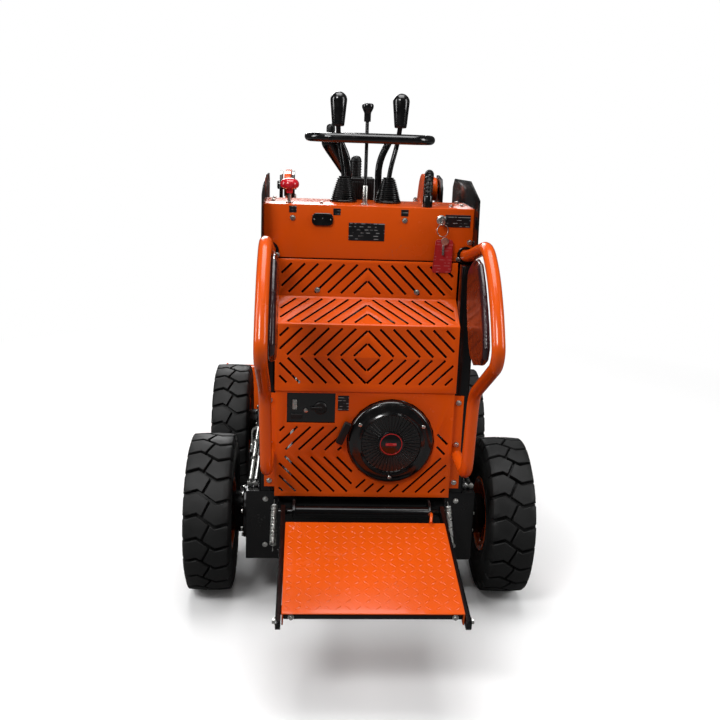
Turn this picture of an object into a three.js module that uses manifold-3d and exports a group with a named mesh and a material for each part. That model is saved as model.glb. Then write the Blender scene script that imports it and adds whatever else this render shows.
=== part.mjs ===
// Stand-on mini skid steer loader, wheeled, with a small petrol engine, lift arms and a bucket.
// Millimetres. +X is the machine's right, +Y its front, +Z up. Every Y below is counted from the
// rear axle; the exported group is then shifted so that the whole machine is centred on its origin.

import * as THREE from "three";
import { mergeVertices } from "three/addons/utils/BufferGeometryUtils.js";
import Module from "manifold-3d";

const wasm = await Module();
wasm.setup();

// ---------- driving dimensions ----------

const GAP = 0.3; // clearance between pieces that rest on each other

// whole machine, from the rear axle
const REAR_END = -695;
const FRONT_END = 1655;

// wheels: 5.00-8 industrial tyres
const WHEEL_RADIUS = 232.5;
const WHEEL_X = 433;
const WHEELBASE = 800;
const TYRE_HALF_TREAD = 60;
const TYRE_HALF_SECTION = 67;
const BEAD_RADIUS = 103;
const WHEEL_SIDES = 32;

// chassis tub
const CHASSIS = { x: 325.5, rear: -160.7, front: 961, bottom: 156, top: 364, wall: 10 };

// upper body
const SHEET = 3;
const CONSOLE = { x: 285.4, rear: -80.4, front: 110, bottom: 1015, top: 1159.5 };
const GUARD_X = 248;
const GUARD_PROFILE = [[-88.4, 1013], [-88.4, 911], [-185.6, 853.5], [-185.6, 667]];
const PANEL = { x: 245.5, y: -181.8, bottom: 359, top: 672, flangeX: 275 };
const WINDOW = { left: -214, right: -82, bottom: 575, top: 661 };
const RECOIL = { x: 73.5, z: 525.5, radius: 119, hole: 122 };
const UPRIGHT = { inner: 248.4, outer: 285.2, rear: -160, front: -118 };
const SIDE_PLATE = { x: 285.7, thickness: 4 };
const HOOD = { x: 190, rear: 345, front: 930, top: 900 };

// slots in the guards
const SLOT = { width: 6.2, pitch: 36, margin: 10 };

// lift arms: the pivot on the posts, the knee and the attachment pivot
const ARM_PIVOT = new THREE.Vector2(400, 1175);
const ARM_KNEE = new THREE.Vector2(672, 1175);
const TILT_PIVOT = new THREE.Vector2(1130, 165);
const ARM = { inner: 223, outer: 243, half: 36, pin: 14 };
const POST = { innerFace: 210, outerFace: 256, plate: 8, rear: 326 };
const CROSS_TUBE = { y: 1000, z: 452, radius: 32 };

// cylinders, each from its base pin to its rod pin
const LIFT_BASE = new THREE.Vector2(430, 440);
const LIFT_ROD = new THREE.Vector2(640, 1030);
const LIFT_X = 286;
const TILT_BASE = new THREE.Vector2(1010, 624);
const TILT_ROD_REACH = 76; // from the attachment pivot
const TILT_ROD_ANGLE = THREE.MathUtils.degToRad(60);

// attachment
const COUPLER = { rear: 1220, thickness: 12, x: 262, bottom: 60, top: 315 };
const BUCKET = { x: 500, bottom: 0, top: 345, wall: 6, bend: 100 };

// platform
const FOLD_PIVOT = new THREE.Vector2(-205, 322);
const DECK = { x: 214, front: [-316, 342], rear: [-680, 280], sheet: 4, flange: 34, shift: 3 };
const PLATFORM_ARM = { inner: 216, outer: 228 };
const SPRING_TOP = new THREE.Vector2(-180, 343);
const SPRING_END = new THREE.Vector2(-284, 244);
const SPRING_X = 245;

// grab bars, as a route in the plane of the bar
const GRAB_X = 270;
const GRAB_RADIUS = 16;
const GRAB_ROUTE = [
  [-80.7, 1034], [-112, 1034], [-384, 1099], [-480, 1043], [-552, 963], [-596, 887], [-580, 850],
  [-339, 712], [-338, 486], [-185.2, 486],
];

// ---------- finishes ----------

const orange = () => new THREE.MeshStandardMaterial({ color: 0xe4500f, roughness: 0.35 });
const black = () => new THREE.MeshStandardMaterial({ color: 0x111214, roughness: 0.4 });
const rubber = () => new THREE.MeshStandardMaterial({ color: 0x1b1c1c, roughness: 0.85 });
const plastic = () => new THREE.MeshStandardMaterial({ color: 0x0d0d0e, roughness: 0.5 });
const zinc = () => new THREE.MeshStandardMaterial({ color: 0xb8bab8, roughness: 0.35, metalness: 0.9 });
const chrome = () => new THREE.MeshStandardMaterial({ color: 0xdadcde, roughness: 0.12, metalness: 1 });
const vinyl = () => new THREE.MeshStandardMaterial({ color: 0x22090c, roughness: 0.25 });
const red = () => new THREE.MeshStandardMaterial({ color: 0xc01020, roughness: 0.3 });
const lens = () => new THREE.MeshStandardMaterial({ color: 0xe8edf0, roughness: 0.15 });
const castMetal = () => new THREE.MeshStandardMaterial({ color: 0x5a5c5e, roughness: 0.6, metalness: 0.7 });

// ---------- shape helpers ----------

// The signed volume tells which way the faces of a closed mesh point.
function facingOut(geometry) {
  const index = geometry.index;
  const p = geometry.attributes.position;
  const [a, b, c] = [new THREE.Vector3(), new THREE.Vector3(), new THREE.Vector3()];
  let volume = 0;
  for (let i = 0; i < index.count; i += 3) {
    a.fromBufferAttribute(p, index.getX(i));
    b.fromBufferAttribute(p, index.getX(i + 1));
    c.fromBufferAttribute(p, index.getX(i + 2));
    volume += a.dot(b.cross(c));
  }
  if (volume > 0) return geometry;
  for (let i = 0; i < index.count; i += 3) {
    const first = index.getX(i);
    index.setX(i, index.getX(i + 2));
    index.setX(i + 2, first);
  }
  return geometry;
}

function closed(geometry) {
  geometry.deleteAttribute("normal");
  geometry.deleteAttribute("uv");
  return facingOut(mergeVertices(geometry, 1e-3));
}

function toSolid(geometry) {
  const merged = closed(geometry);
  const mesh = new wasm.Mesh({
    numProp: 3,
    vertProperties: new Float32Array(merged.attributes.position.array),
    triVerts: new Uint32Array(merged.index.array),
  });
  return new wasm.Manifold(mesh);
}

function toGeometry(solid) {
  const mesh = solid.getMesh();
  const geometry = new THREE.BufferGeometry();
  geometry.setAttribute("position", new THREE.BufferAttribute(new Float32Array(mesh.vertProperties), 3));
  geometry.setIndex(new THREE.BufferAttribute(new Uint32Array(mesh.triVerts), 1));
  return geometry;
}

const joined = (...geometries) => toGeometry(geometries.map(toSolid).reduce((all, next) => all.add(next)));

const cut = (body, ...cutters) =>
  toGeometry(cutters.map(toSolid).reduce((rest, next) => rest.subtract(next), toSolid(body)));

// A block between two corners.
function block(x0, x1, y0, y1, z0, z1) {
  const geometry = new THREE.BoxGeometry(x1 - x0, y1 - y0, z1 - z0);
  return geometry.translate((x0 + x1) / 2, (y0 + y1) / 2, (z0 + z1) / 2);
}

// An outline in the Y-Z plane, extruded along X.
const SIDEWAYS = new THREE.Matrix4().makeBasis(
  new THREE.Vector3(0, 1, 0), new THREE.Vector3(0, 0, 1), new THREE.Vector3(1, 0, 0));

function sideways(shape, x0, x1) {
  const geometry = new THREE.ExtrudeGeometry(shape, { depth: x1 - x0, bevelEnabled: false, curveSegments: 10 });
  return geometry.applyMatrix4(SIDEWAYS).translate(x0, 0, 0);
}

// An outline in the X-Z plane, extruded along Y from its rear face.
function rearward(shape, y0, y1) {
  const geometry = new THREE.ExtrudeGeometry(shape, { depth: y1 - y0, bevelEnabled: false, curveSegments: 12 });
  return geometry.rotateX(Math.PI / 2).translate(0, y1, 0);
}

const outline = (points) => new THREE.Shape(points.map(([u, v]) => new THREE.Vector2(u, v)));

const rodAlongX = (radius, x0, x1, y, z, sides = 20) =>
  new THREE.CylinderGeometry(radius, radius, x1 - x0, sides)
    .rotateZ(Math.PI / 2).translate((x0 + x1) / 2, y, z);

// Turned about the X axis, from [x, radius] pairs.
const turnedAlongX = (profile, sides) =>
  new THREE.LatheGeometry(profile.map(([x, r]) => new THREE.Vector2(r, x)), sides).rotateZ(-Math.PI / 2);

// Turned about the Z axis, from [radius, z] pairs.
const turned = (profile, sides) =>
  new THREE.LatheGeometry(profile.map(([r, z]) => new THREE.Vector2(r, z)), sides).rotateX(Math.PI / 2);

// A route of straight runs with rounded corners.
function bentRoute(points, bend) {
  const route = new THREE.CurvePath();
  let from = points[0];
  for (let i = 1; i < points.length - 1; i += 1) {
    const corner = points[i];
    const reach = Math.min(bend, corner.distanceTo(points[i - 1]) * 0.45, corner.distanceTo(points[i + 1]) * 0.45);
    const before = corner.clone().lerp(points[i - 1], reach / corner.distanceTo(points[i - 1]));
    const after = corner.clone().lerp(points[i + 1], reach / corner.distanceTo(points[i + 1]));
    route.add(new THREE.LineCurve3(from, before));
    route.add(new THREE.QuadraticBezierCurve3(before, corner, after));
    from = after;
  }
  route.add(new THREE.LineCurve3(from, points[points.length - 1]));
  return route;
}

function bar(points, radius, bend, steps, sides = 12) {
  const section = new THREE.Shape().absarc(0, 0, radius, 0, 2 * Math.PI);
  const corners = points.map((p) => new THREE.Vector3(...p));
  return new THREE.ExtrudeGeometry(section, {
    extrudePath: bentRoute(corners, bend), steps, bevelEnabled: false, curveSegments: sides / 2,
  });
}

// A strip of constant width along a path, with round ends.
function strip(path, half) {
  const edge = (side) => path.map((p, i) => {
    const before = path[Math.max(i - 1, 0)];
    const after = path[Math.min(i + 1, path.length - 1)];
    const along = after.clone().sub(before).normalize();
    return p.clone().add(new THREE.Vector2(-along.y, along.x).multiplyScalar(side * half));
  });
  const cap = (centre, neighbour) => {
    const away = Math.atan2(centre.y - neighbour.y, centre.x - neighbour.x);
    return [1, 2, 3, 4, 5].map((k) => {
      const angle = away + Math.PI / 2 - (k * Math.PI) / 6;
      return new THREE.Vector2(centre.x + half * Math.cos(angle), centre.y + half * Math.sin(angle));
    });
  };
  const last = path.length - 1;
  return new THREE.Shape([
    ...edge(1), ...cap(path[last], path[last - 1]), ...edge(-1).reverse(), ...cap(path[0], path[1]),
  ]);
}

// ---------- assembly helpers ----------

const machine = new THREE.Group();
machine.position.y = -(REAR_END + FRONT_END) / 2;

function place(name, geometry, material, position = [0, 0, 0], parent = machine) {
  const mesh = new THREE.Mesh(closed(geometry), material);
  mesh.name = name;
  mesh.position.set(...position);
  parent.add(mesh);
  return mesh;
}

const SIDES = [["left", -1], ["right", 1]];

// The same blocks on both sides of the machine keep their outward order in X.
const span = (side, inner, outer) => (side > 0 ? [inner, outer] : [-outer, -inner]);

// ---------- running gear ----------

function tyre() {
  const half = [
    [57, BEAD_RADIUS], [57, 115], [TYRE_HALF_SECTION, 150], [TYRE_HALF_SECTION - 1, 190],
    [TYRE_HALF_TREAD + 1, 222], [TYRE_HALF_TREAD - 8, WHEEL_RADIUS],
  ];
  const other = half.map(([x, r]) => [-x, r]).reverse();
  return turnedAlongX([...half, ...other, half[0]], WHEEL_SIDES);
}

function rim() {
  return turnedAlongX([
    [17, 0], [17, 84], [24, 93], [57.4, 96], [60.5, 98], [60.5, 113], [57.4, 113], [57.4, 102.6],
    [-57.4, 102.6], [-57.4, 113], [-60.5, 113], [-60.5, 98], [9, 95], [9, 84], [9, 0],
  ], WHEEL_SIDES);
}

// Hydraulic wheel motor: a bolted flange on the chassis, the housing and the wheel flange.
function driveHub() {
  const reach = WHEEL_X + 9 - 0.5 - CHASSIS.x - GAP;
  return turnedAlongX([
    [0, 0], [0, 78], [14, 78], [14, 46], [44, 46], [44, 62], [86, 62], [86, 46], [reach - 10, 46],
    [reach - 10, 62], [reach, 62], [reach, 0],
  ], 20);
}

for (const [end, y] of [["rear", 0], ["front", WHEELBASE]]) {
  for (const [name, side] of SIDES) {
    const hub = place(`drive_hub_${end}_${name}`, driveHub(), black(), [side * (CHASSIS.x + GAP), y, WHEEL_RADIUS]);
    const wheelRim = place(`rim_${end}_${name}`, rim(), orange(), [side * WHEEL_X, y, WHEEL_RADIUS]);
    const wheelTyre = place(`tyre_${end}_${name}`, tyre(), rubber(), [side * WHEEL_X, y, WHEEL_RADIUS]);
    for (const piece of [hub, wheelRim, wheelTyre]) piece.rotation.z = side > 0 ? 0 : Math.PI;
  }
}

// ---------- chassis ----------

// Tub of plate with an open bay for the engine, and the platform's ears, tube and stub pins.
function chassis() {
  const { x, rear, front, bottom, top, wall } = CHASSIS;
  const ears = SIDES.map(([, side]) => {
    const [x0, x1] = span(side, 186, 194);
    const ear = outline([[rear + 1, 300], [-205, 300], [-224, 312], [-224, 334], [-205, 346], [rear + 1, 356]]);
    return sideways(ear, x0, x1);
  });
  const stubs = SIDES.map(([, side]) => {
    const [x0, x1] = span(side, 193, 234);
    return rodAlongX(10, x0, x1, FOLD_PIVOT.x, FOLD_PIVOT.y, 16);
  });
  const springLugs = SIDES.map(([, side]) => {
    const [x0, x1] = span(side, SPRING_X - 13, SPRING_X - 9);
    return block(x0, x1, -192, rear + 1, 336, 352);
  });
  const tube = rodAlongX(17, -187, 187, FOLD_PIVOT.x, FOLD_PIVOT.y, 20);
  const shell = cut(
    block(-x, x, rear, front, bottom, top),
    block(-x + wall, x - wall, rear + wall, front - wall, bottom + wall, top - wall),
    block(-200, 220, -120, 320, top - wall - 1, top + 1));
  return joined(shell, ...ears, ...stubs, ...springLugs, tube);
}

place("chassis_frame", chassis(), black());

// ---------- engine ----------

place("engine_block", block(-190, 205, -140, 120, 372, 655), castMetal());

function recoilStarter() {
  const { radius } = RECOIL;
  return turned([
    [0, 0], [radius - 2, 0], [radius, 6], [radius, 48], [radius - 8, 60], [radius * 0.78, 66],
    [radius * 0.72, 62], [36, 62], [33, 66], [0, 66],
  ], 32).rotateX(Math.PI / 2);
}

place("recoil_starter", recoilStarter(), plastic(), [RECOIL.x, -142, RECOIL.z]);

function recoilGrip() {
  return block(-10, 10, -9, 9, -33, 33);
}

const grip = place("recoil_handle", recoilGrip(), plastic(), [-58, -200, 553]);
grip.rotation.y = THREE.MathUtils.degToRad(22);

// ---------- rear guards ----------

// One slot, as a bar with square ends along a 45 degree line, long enough to pass through the sheet.
function slotCutter(x0, v0, x1, v1) {
  const along = new THREE.Vector2(x1 - x0, v1 - v0).normalize();
  const across = new THREE.Vector2(-along.y, along.x).multiplyScalar(SLOT.width / 2);
  const corners = [[x0, v0, 1], [x0, v0, -1], [x1, v1, -1], [x1, v1, 1]];
  return corners.map(([x, v, s]) => [x + s * across.x, v + s * across.y]);
}

// A row of parallel 45 degree slots that leave the row's baseline every pitch, clipped to a rectangle.
// lean is +1 where they rise to the right and -1 where they rise to the left.
function slotRow({ x0, x1, v0, v1, lean, phase = 0, keep = () => true }) {
  const slots = [];
  const height = v1 - v0;
  const first = Math.ceil((x0 - height - phase) / SLOT.pitch) * SLOT.pitch + phase;
  for (let foot = first; foot < x1 + height; foot += SLOT.pitch) {
    const at = (t) => foot + lean * t;
    const limits = [(x0 - foot) * lean, (x1 - foot) * lean].sort((a, b) => a - b);
    const low = Math.max(0, limits[0]);
    const high = Math.min(height, limits[1]);
    if (high - low < 9) continue;
    for (const [from, to] of keptRuns(low, high, (t) => keep(at(t), v0 + t))) {
      slots.push(slotCutter(at(from), v0 + from, at(to), v0 + to));
    }
  }
  return slots;
}

// The stretches of a slot that are wanted, found by stepping along it.
function keptRuns(low, high, wanted) {
  const runs = [];
  const step = 2;
  let start = null;
  for (let t = low; t <= high; t += step) {
    if (wanted(t) && start === null) start = t;
    if (!wanted(t) && start !== null) {
      if (t - start > 10) runs.push([start, t - step]);
      start = null;
    }
  }
  if (start !== null && high - start > 8) runs.push([start, high]);
  return runs;
}

// Chevrons about the centre line: slots that rise towards it, or fall towards it.
function chevronRow(half, v0, v1, peak) {
  const row = (side) => slotRow({
    x0: side > 0 ? SLOT.width * 0.2 : -half, x1: side > 0 ? half : -SLOT.width * 0.2,
    v0, v1, lean: peak * -side, phase: 0,
  });
  return [...row(-1), ...row(1)];
}

// Cuts the slots of one flat facet; toFacet turns the slot's own plane into the facet's.
function facetCutters(slots, toFacet) {
  return slots.map((corners) => {
    const geometry = new THREE.ExtrudeGeometry(outline(corners), { depth: 16, bevelEnabled: false });
    return geometry.translate(0, 0, -8).applyMatrix4(toFacet);
  });
}

// The plane of a facet between two profile points: slot v runs up the facet from its lower point.
function facetFrame(lower, upper) {
  const up = new THREE.Vector3(0, upper[0] - lower[0], upper[1] - lower[1]).normalize();
  const across = new THREE.Vector3(1, 0, 0);
  const out = across.clone().cross(up);
  return new THREE.Matrix4().makeBasis(across, up, out).setPosition(0, lower[0], lower[1]);
}

function upperGuard() {
  const inner = GUARD_PROFILE.map(([y, z], i) => [y + SHEET, z + (i === 1 || i === 2 ? 0.8 : 0)]).reverse();
  const sheet = sideways(outline([...GUARD_PROFILE, ...inner]), -GUARD_X, GUARD_X);
  const half = GUARD_X - SLOT.margin - 2;
  const [p0, p1, p2, p3] = GUARD_PROFILE;
  const slope = Math.hypot(p1[0] - p2[0], p1[1] - p2[1]);
  const drop = p2[1] - p3[1];
  const middle = drop / 2 + 3.5;
  return cut(
    sheet,
    ...facetCutters(chevronRow(half, SLOT.margin, p0[1] - p1[1] - 12, 1), facetFrame(p1, p0)),
    ...facetCutters(chevronRow(half, SLOT.margin, slope - SLOT.margin, 1), facetFrame(p2, p1)),
    ...facetCutters(chevronRow(half, middle + 4, drop - SLOT.margin, 1), facetFrame(p3, p2)),
    ...facetCutters(chevronRow(half, SLOT.margin + 13, middle - 4, -1), facetFrame(p3, p2)));
}

place("upper_rear_guard", upperGuard(), orange());

// Folded sheet with side flanges, the carburettor window and the round opening of the starter.
function lowerPanel() {
  const { x, y, bottom, top, flangeX } = PANEL;
  const face = block(-x, x, y, y + SHEET, bottom, top);
  const returns = SIDES.flatMap(([, side]) => {
    const [r0, r1] = span(side, x - SHEET, x);
    const [f0, f1] = span(side, x - SHEET, flangeX);
    return [block(r0, r1, y, -161, bottom, top), block(f0, f1, -164, -161, 380, top - 18)];
  });
  const away = (px, pz) => Math.hypot(px - RECOIL.x, pz - RECOIL.z) > RECOIL.hole + 9
    && !(px > WINDOW.left - 9 && px < WINDOW.right + 40 && pz > WINDOW.bottom - 9);
  const half = x - SLOT.margin - 2;
  const keep = (px, v) => away(px, bottom + v);
  const rows = [
    ...slotRow({ x0: -half, x1: -62, v0: 137, v1: 205, lean: 1, phase: 0, keep }),
    ...slotRow({ x0: -half, x1: -30, v0: 14, v1: 118, lean: -1, phase: -6, keep }),
    ...slotRow({ x0: -18, x1: half, v0: 14, v1: 118, lean: 1, phase: 6, keep }),
    ...slotRow({ x0: 150, x1: half, v0: 128, v1: 195, lean: -1, phase: 12, keep }),
  ];
  const round = new THREE.Shape().absarc(RECOIL.x, RECOIL.z, RECOIL.hole, 0, 2 * Math.PI);
  return cut(
    joined(face, ...returns),
    ...facetCutters(rows, facetFrame([y, bottom], [y, top])),
    rearward(round, y - 10, y + 20),
    block(WINDOW.left, WINDOW.right, y - 10, y + 20, WINDOW.bottom, WINDOW.top));
}

place("lower_rear_panel", lowerPanel(), orange());

// Black uprights beside the guards, joined by the fire wall that stands behind the upper guard.
function bodyFrame() {
  const uprights = SIDES.map(([, side]) => {
    const [x0, x1] = span(side, UPRIGHT.inner, UPRIGHT.outer);
    return block(x0, x1, UPRIGHT.rear, UPRIGHT.front, CHASSIS.top + GAP, CONSOLE.bottom - GAP);
  });
  const wall = block(-UPRIGHT.outer, UPRIGHT.outer, UPRIGHT.front - 3, UPRIGHT.front, 700, 850);
  const upper = sideways(outline([
    [UPRIGHT.front - 3, 840], [UPRIGHT.front, 840], [-66, 900], [-66, 1014.6], [-69, 1014.6], [-69, 901],
  ]), -UPRIGHT.outer, UPRIGHT.outer);
  return joined(...uprights, wall, upper);
}

place("body_frame", bodyFrame(), black());

// ---------- console and side plates ----------

function consoleBox() {
  const { x, rear, front, bottom, top } = CONSOLE;
  return cut(
    block(-x, x, rear, front, bottom, top),
    block(-x + SHEET, x - SHEET, rear + SHEET, front - SHEET, bottom - 1, top - SHEET));
}

place("console_box", consoleBox(), orange());

const sidePlateOutline = () => outline([
  [-156, CHASSIS.top + GAP], [-156, 900], [-134, 1188], [23, 1228], [300, 1217], [331, 1190], [331, CHASSIS.top + GAP],
]);

for (const [name, side] of SIDES) {
  const [x0, x1] = span(side, SIDE_PLATE.x, SIDE_PLATE.x + SIDE_PLATE.thickness);
  place(`side_plate_${name}`, sideways(sidePlateOutline(), x0, x1), black());
}

// ---------- middle and front body ----------

const TANK_TOP = 1090;
place("hydraulic_tank", block(-185, 185, 125, 320, CHASSIS.top + GAP, TANK_TOP), black());

function airFilterBox() {
  const cap = turned([[0, 0], [15.6, 0], [15.6, 54], [11, 62], [0, 64]], 16).translate(-27, 205, 1217);
  return joined(block(-46, 27, 160, 250, TANK_TOP + GAP, 1218), cap);
}

place("air_filter_box", airFilterBox(), plastic());

// Orange engine hood ahead of the posts, hollow, with its front edge sloped and its bottom open.
function hood() {
  const { x, rear, front, top } = HOOD;
  const base = CHASSIS.top + GAP;
  const outer = outline([[rear, base], [front, base], [front, top - 140], [front - 90, top], [rear, top]]);
  const inner = outline([
    [rear + 3, base - 2], [front - 3, base - 2], [front - 3, top - 142], [front - 92, top - 3], [rear + 3, top - 3],
  ]);
  const grille = [0, 1, 2, 3, 4, 5, 6].map((k) => block(-130, 130, front - 8, front + 8, 460 + 36 * k, 472 + 36 * k));
  return cut(sideways(outer, -x, x), sideways(inner, -x + 3, x - 3), ...grille);
}

place("front_hood", hood(), orange());

for (const [name, side] of SIDES) {
  place(`work_light_${name}`, block(-42, 42, 0, 34, -32, 32), lens(), [side * 125, HOOD.front + GAP, 722]);
}

// ---------- lift arm posts ----------

const postOutline = () => outline([
  [POST.rear, CHASSIS.top + GAP], [620, CHASSIS.top + GAP], [600, 420], [520, 640], [462, 1120],
  [456, 1196], [436, 1218], [352, 1210], [POST.rear, 1170],
]);

function armPost() {
  const { innerFace, outerFace, plate, rear } = POST;
  return joined(
    sideways(postOutline(), innerFace, innerFace + plate),
    sideways(postOutline(), outerFace - plate, outerFace),
    block(innerFace + 1, outerFace - 1, rear, rear + 10, CHASSIS.top + GAP, 1110),
    rodAlongX(ARM.pin, innerFace - 6, outerFace + 8, ARM_PIVOT.x, ARM_PIVOT.y, 20),
    rodAlongX(24, outerFace - 1, LIFT_X - 15, LIFT_BASE.x, LIFT_BASE.y, 20));
}

for (const [name, side] of SIDES) {
  const geometry = armPost();
  if (side < 0) geometry.scale(-1, 1, 1);
  place(`arm_post_${name}`, geometry, black());
}

// ---------- lift arms ----------

// The arm's centre line, with the knee as a smooth bend.
function armPath() {
  const before = ARM_KNEE.clone().lerp(ARM_PIVOT, 0.2);
  const after = ARM_KNEE.clone().lerp(TILT_PIVOT, 0.05);
  const bend = new THREE.QuadraticBezierCurve(before, ARM_KNEE, after).getPoints(5);
  return [ARM_PIVOT, ...bend, TILT_PIVOT];
}

// Bent plate with a gusset under the knee that carries the lift cylinder's pin.
function liftArm() {
  const bossInner = ARM.outer - 1;
  const gusset = outline([[530, 1150], [612, 1012], [632, 1000], [654, 1000], [775, 1030], [700, 1150]]);
  return cut(
    joined(
      sideways(strip(armPath(), ARM.half), ARM.inner, ARM.outer),
      sideways(gusset, ARM.inner, ARM.outer),
      rodAlongX(24, bossInner, LIFT_X - 15, LIFT_ROD.x, LIFT_ROD.y, 20)),
    rodAlongX(ARM.pin + 0.5, ARM.inner - 5, ARM.outer + 5, ARM_PIVOT.x, ARM_PIVOT.y, 20),
    rodAlongX(12.5, ARM.inner - 5, ARM.outer + 5, TILT_PIVOT.x, TILT_PIVOT.y, 20));
}

for (const [name, side] of SIDES) {
  const geometry = liftArm();
  if (side < 0) geometry.scale(-1, 1, 1);
  place(`lift_arm_${name}`, geometry, orange());
}

// Cross tube with the two cheeks that hold the tilt cylinder's base pin.
function crossTube() {
  const cheek = (x0, x1) => sideways(
    strip([new THREE.Vector2(CROSS_TUBE.y, CROSS_TUBE.z), TILT_BASE], 24), x0, x1);
  return joined(
    rodAlongX(CROSS_TUBE.radius, -ARM.inner + GAP, ARM.inner - GAP, CROSS_TUBE.y, CROSS_TUBE.z, 24),
    cheek(-35, -25), cheek(25, 35));
}

place("arm_cross_tube", crossTube(), orange());

// ---------- hydraulic cylinders ----------

// Barrel along +Z from its base pin, bored from the gland end for the rod.
function barrel(length, radius, rodRadius, eye) {
  const bore = rodRadius + 0.8;
  const body = turned([
    [0, 10], [13, 10], [13, 34], [radius, 38], [radius, length - 26], [radius + 4, length - 26], [radius + 4, length - 4],
    [radius, length], [bore, length], [bore, 48], [0, 48],
  ], 24);
  return joined(body, rodAlongX(eye, -14, 14, 0, 0, 20));
}

// Rod along +Z, its eye at the origin and its tail inside the barrel.
function rod(length, radius, eye) {
  const shaft = new THREE.CylinderGeometry(radius, radius, length, 20).rotateX(Math.PI / 2).translate(0, 0, -length / 2);
  return joined(shaft, rodAlongX(eye, -14, 14, 0, 0, 20));
}

// The turn about X that brings local +Z on the line between two pins.
const leanOf = (from, to) => -Math.atan2(to.x - from.x, to.y - from.y);

function placeCylinder(names, base, end, x, sizes) {
  const lean = leanOf(base, end);
  const reach = base.distanceTo(end);
  const shell = place(names[0], barrel(sizes.barrel, sizes.radius, sizes.rod, sizes.baseEye), black(), [x, base.x, base.y]);
  const shaft = place(names[1], rod(reach - sizes.tail, sizes.rod, sizes.rodEye), chrome(), [x, end.x, end.y]);
  shell.rotation.x = lean;
  shaft.rotation.x = lean;
}

for (const [name, side] of SIDES) {
  placeCylinder([`lift_barrel_${name}`, `lift_rod_${name}`], LIFT_BASE, LIFT_ROD, side * LIFT_X,
    { barrel: 560, radius: 26, rod: 14, baseEye: 25, rodEye: 23, tail: 55 });
}

const TILT_ROD = TILT_PIVOT.clone().add(
  new THREE.Vector2(Math.cos(TILT_ROD_ANGLE), Math.sin(TILT_ROD_ANGLE)).multiplyScalar(TILT_ROD_REACH));

placeCylinder(["tilt_barrel", "tilt_rod"], TILT_BASE, TILT_ROD, 0,
  { barrel: 345, radius: 24, rod: 12, baseEye: 23, rodEye: 20, tail: 78 });

// ---------- coupler plate and bucket ----------

// Plate with an ear on each side of both arms, the pins between the ears and two lugs for the tilt rod.
function coupler() {
  const { rear, thickness, x, bottom, top } = COUPLER;
  const ear = (x0, x1) => sideways(outline([
    [rear + 1, 96], [TILT_PIVOT.x - 4, 138], [TILT_PIVOT.x - 24, 150], [TILT_PIVOT.x - 28, 165],
    [TILT_PIVOT.x - 24, 180], [TILT_PIVOT.x - 4, 193], [rear + 1, 250],
  ]), x0, x1);
  const lug = (x0, x1) => sideways(outline([
    [rear + 1, 170], [TILT_ROD.x - 8, TILT_ROD.y - 22], [TILT_ROD.x - 22, TILT_ROD.y - 8],
    [TILT_ROD.x - 21, TILT_ROD.y + 11], [TILT_ROD.x, TILT_ROD.y + 23], [rear + 1, 280],
  ]), x0, x1);
  const pins = SIDES.map(([, side]) => rodAlongX(12, ...span(side, 206, 262), TILT_PIVOT.x, TILT_PIVOT.y, 20));
  return joined(
    block(-x, x, rear, rear + thickness, bottom, top),
    ...SIDES.flatMap(([, side]) => [ear(...span(side, 209, 219)), ear(...span(side, 247, 257))]),
    lug(-26, -16), lug(16, 26), ...pins);
}

place("coupler_plate", coupler(), black());

const BUCKET_BACK = COUPLER.rear + COUPLER.thickness + GAP;

// Section of the bucket's skin: lip, floor, round heel and back, at a distance inside the outer face.
function bucketSection(inset) {
  const { bend, bottom, top } = BUCKET;
  const heel = [0, 1, 2, 3, 4, 5, 6].map((k) => {
    const angle = Math.PI * 1.5 - (k * Math.PI) / 12;
    const radius = bend - inset;
    return [BUCKET_BACK + bend + radius * Math.cos(angle), bottom + bend + radius * Math.sin(angle)];
  });
  return [[FRONT_END - 40, bottom + inset], ...heel, [BUCKET_BACK + inset, top]];
}

function bucket() {
  const { x, wall, top, bottom } = BUCKET;
  const skin = sideways(outline([...bucketSection(0), ...bucketSection(wall).reverse()]), -x, x);
  const cheek = [...bucketSection(0), [BUCKET_BACK + 60, top], [FRONT_END - 60, bottom + 120]];
  return joined(
    skin, sideways(outline(cheek), -x, -x + wall), sideways(outline(cheek), x - wall, x),
    block(-x, x, BUCKET_BACK, BUCKET_BACK + 40, top - 12, top));
}

place("bucket", bucket(), orange());

const cuttingEdge = () => sideways(outline([
  [FRONT_END - 110, BUCKET.wall + GAP], [FRONT_END - 39.7, BUCKET.wall + GAP], [FRONT_END - 39.7, 0],
  [FRONT_END, 0], [FRONT_END, 3], [FRONT_END - 30, 18], [FRONT_END - 110, 18],
]), -BUCKET.x + BUCKET.wall + GAP, BUCKET.x - BUCKET.wall - GAP);

place("cutting_edge", cuttingEdge(), black());

// ---------- platform ----------

function stepPlate() {
  const { x, front, rear, sheet, flange } = DECK;
  const along = new THREE.Vector2(rear[0] - front[0], rear[1] - front[1]).normalize();
  const down = new THREE.Vector2(-along.y, along.x);
  const at = (p, depth) => [p[0] + down.x * depth, p[1] + down.y * depth];
  const top = outline([front, rear, at(rear, sheet), at(front, sheet)]);
  const side = outline([front, rear, at(rear, flange), at(front, flange * 0.7)]);
  return joined(
    sideways(top, -x, x),
    ...SIDES.map(([, s]) => sideways(side, ...span(s, x - sheet, x))));
}

place("step_plate", stepPlate(), orange(), [DECK.shift, 0, 0]);

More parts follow.
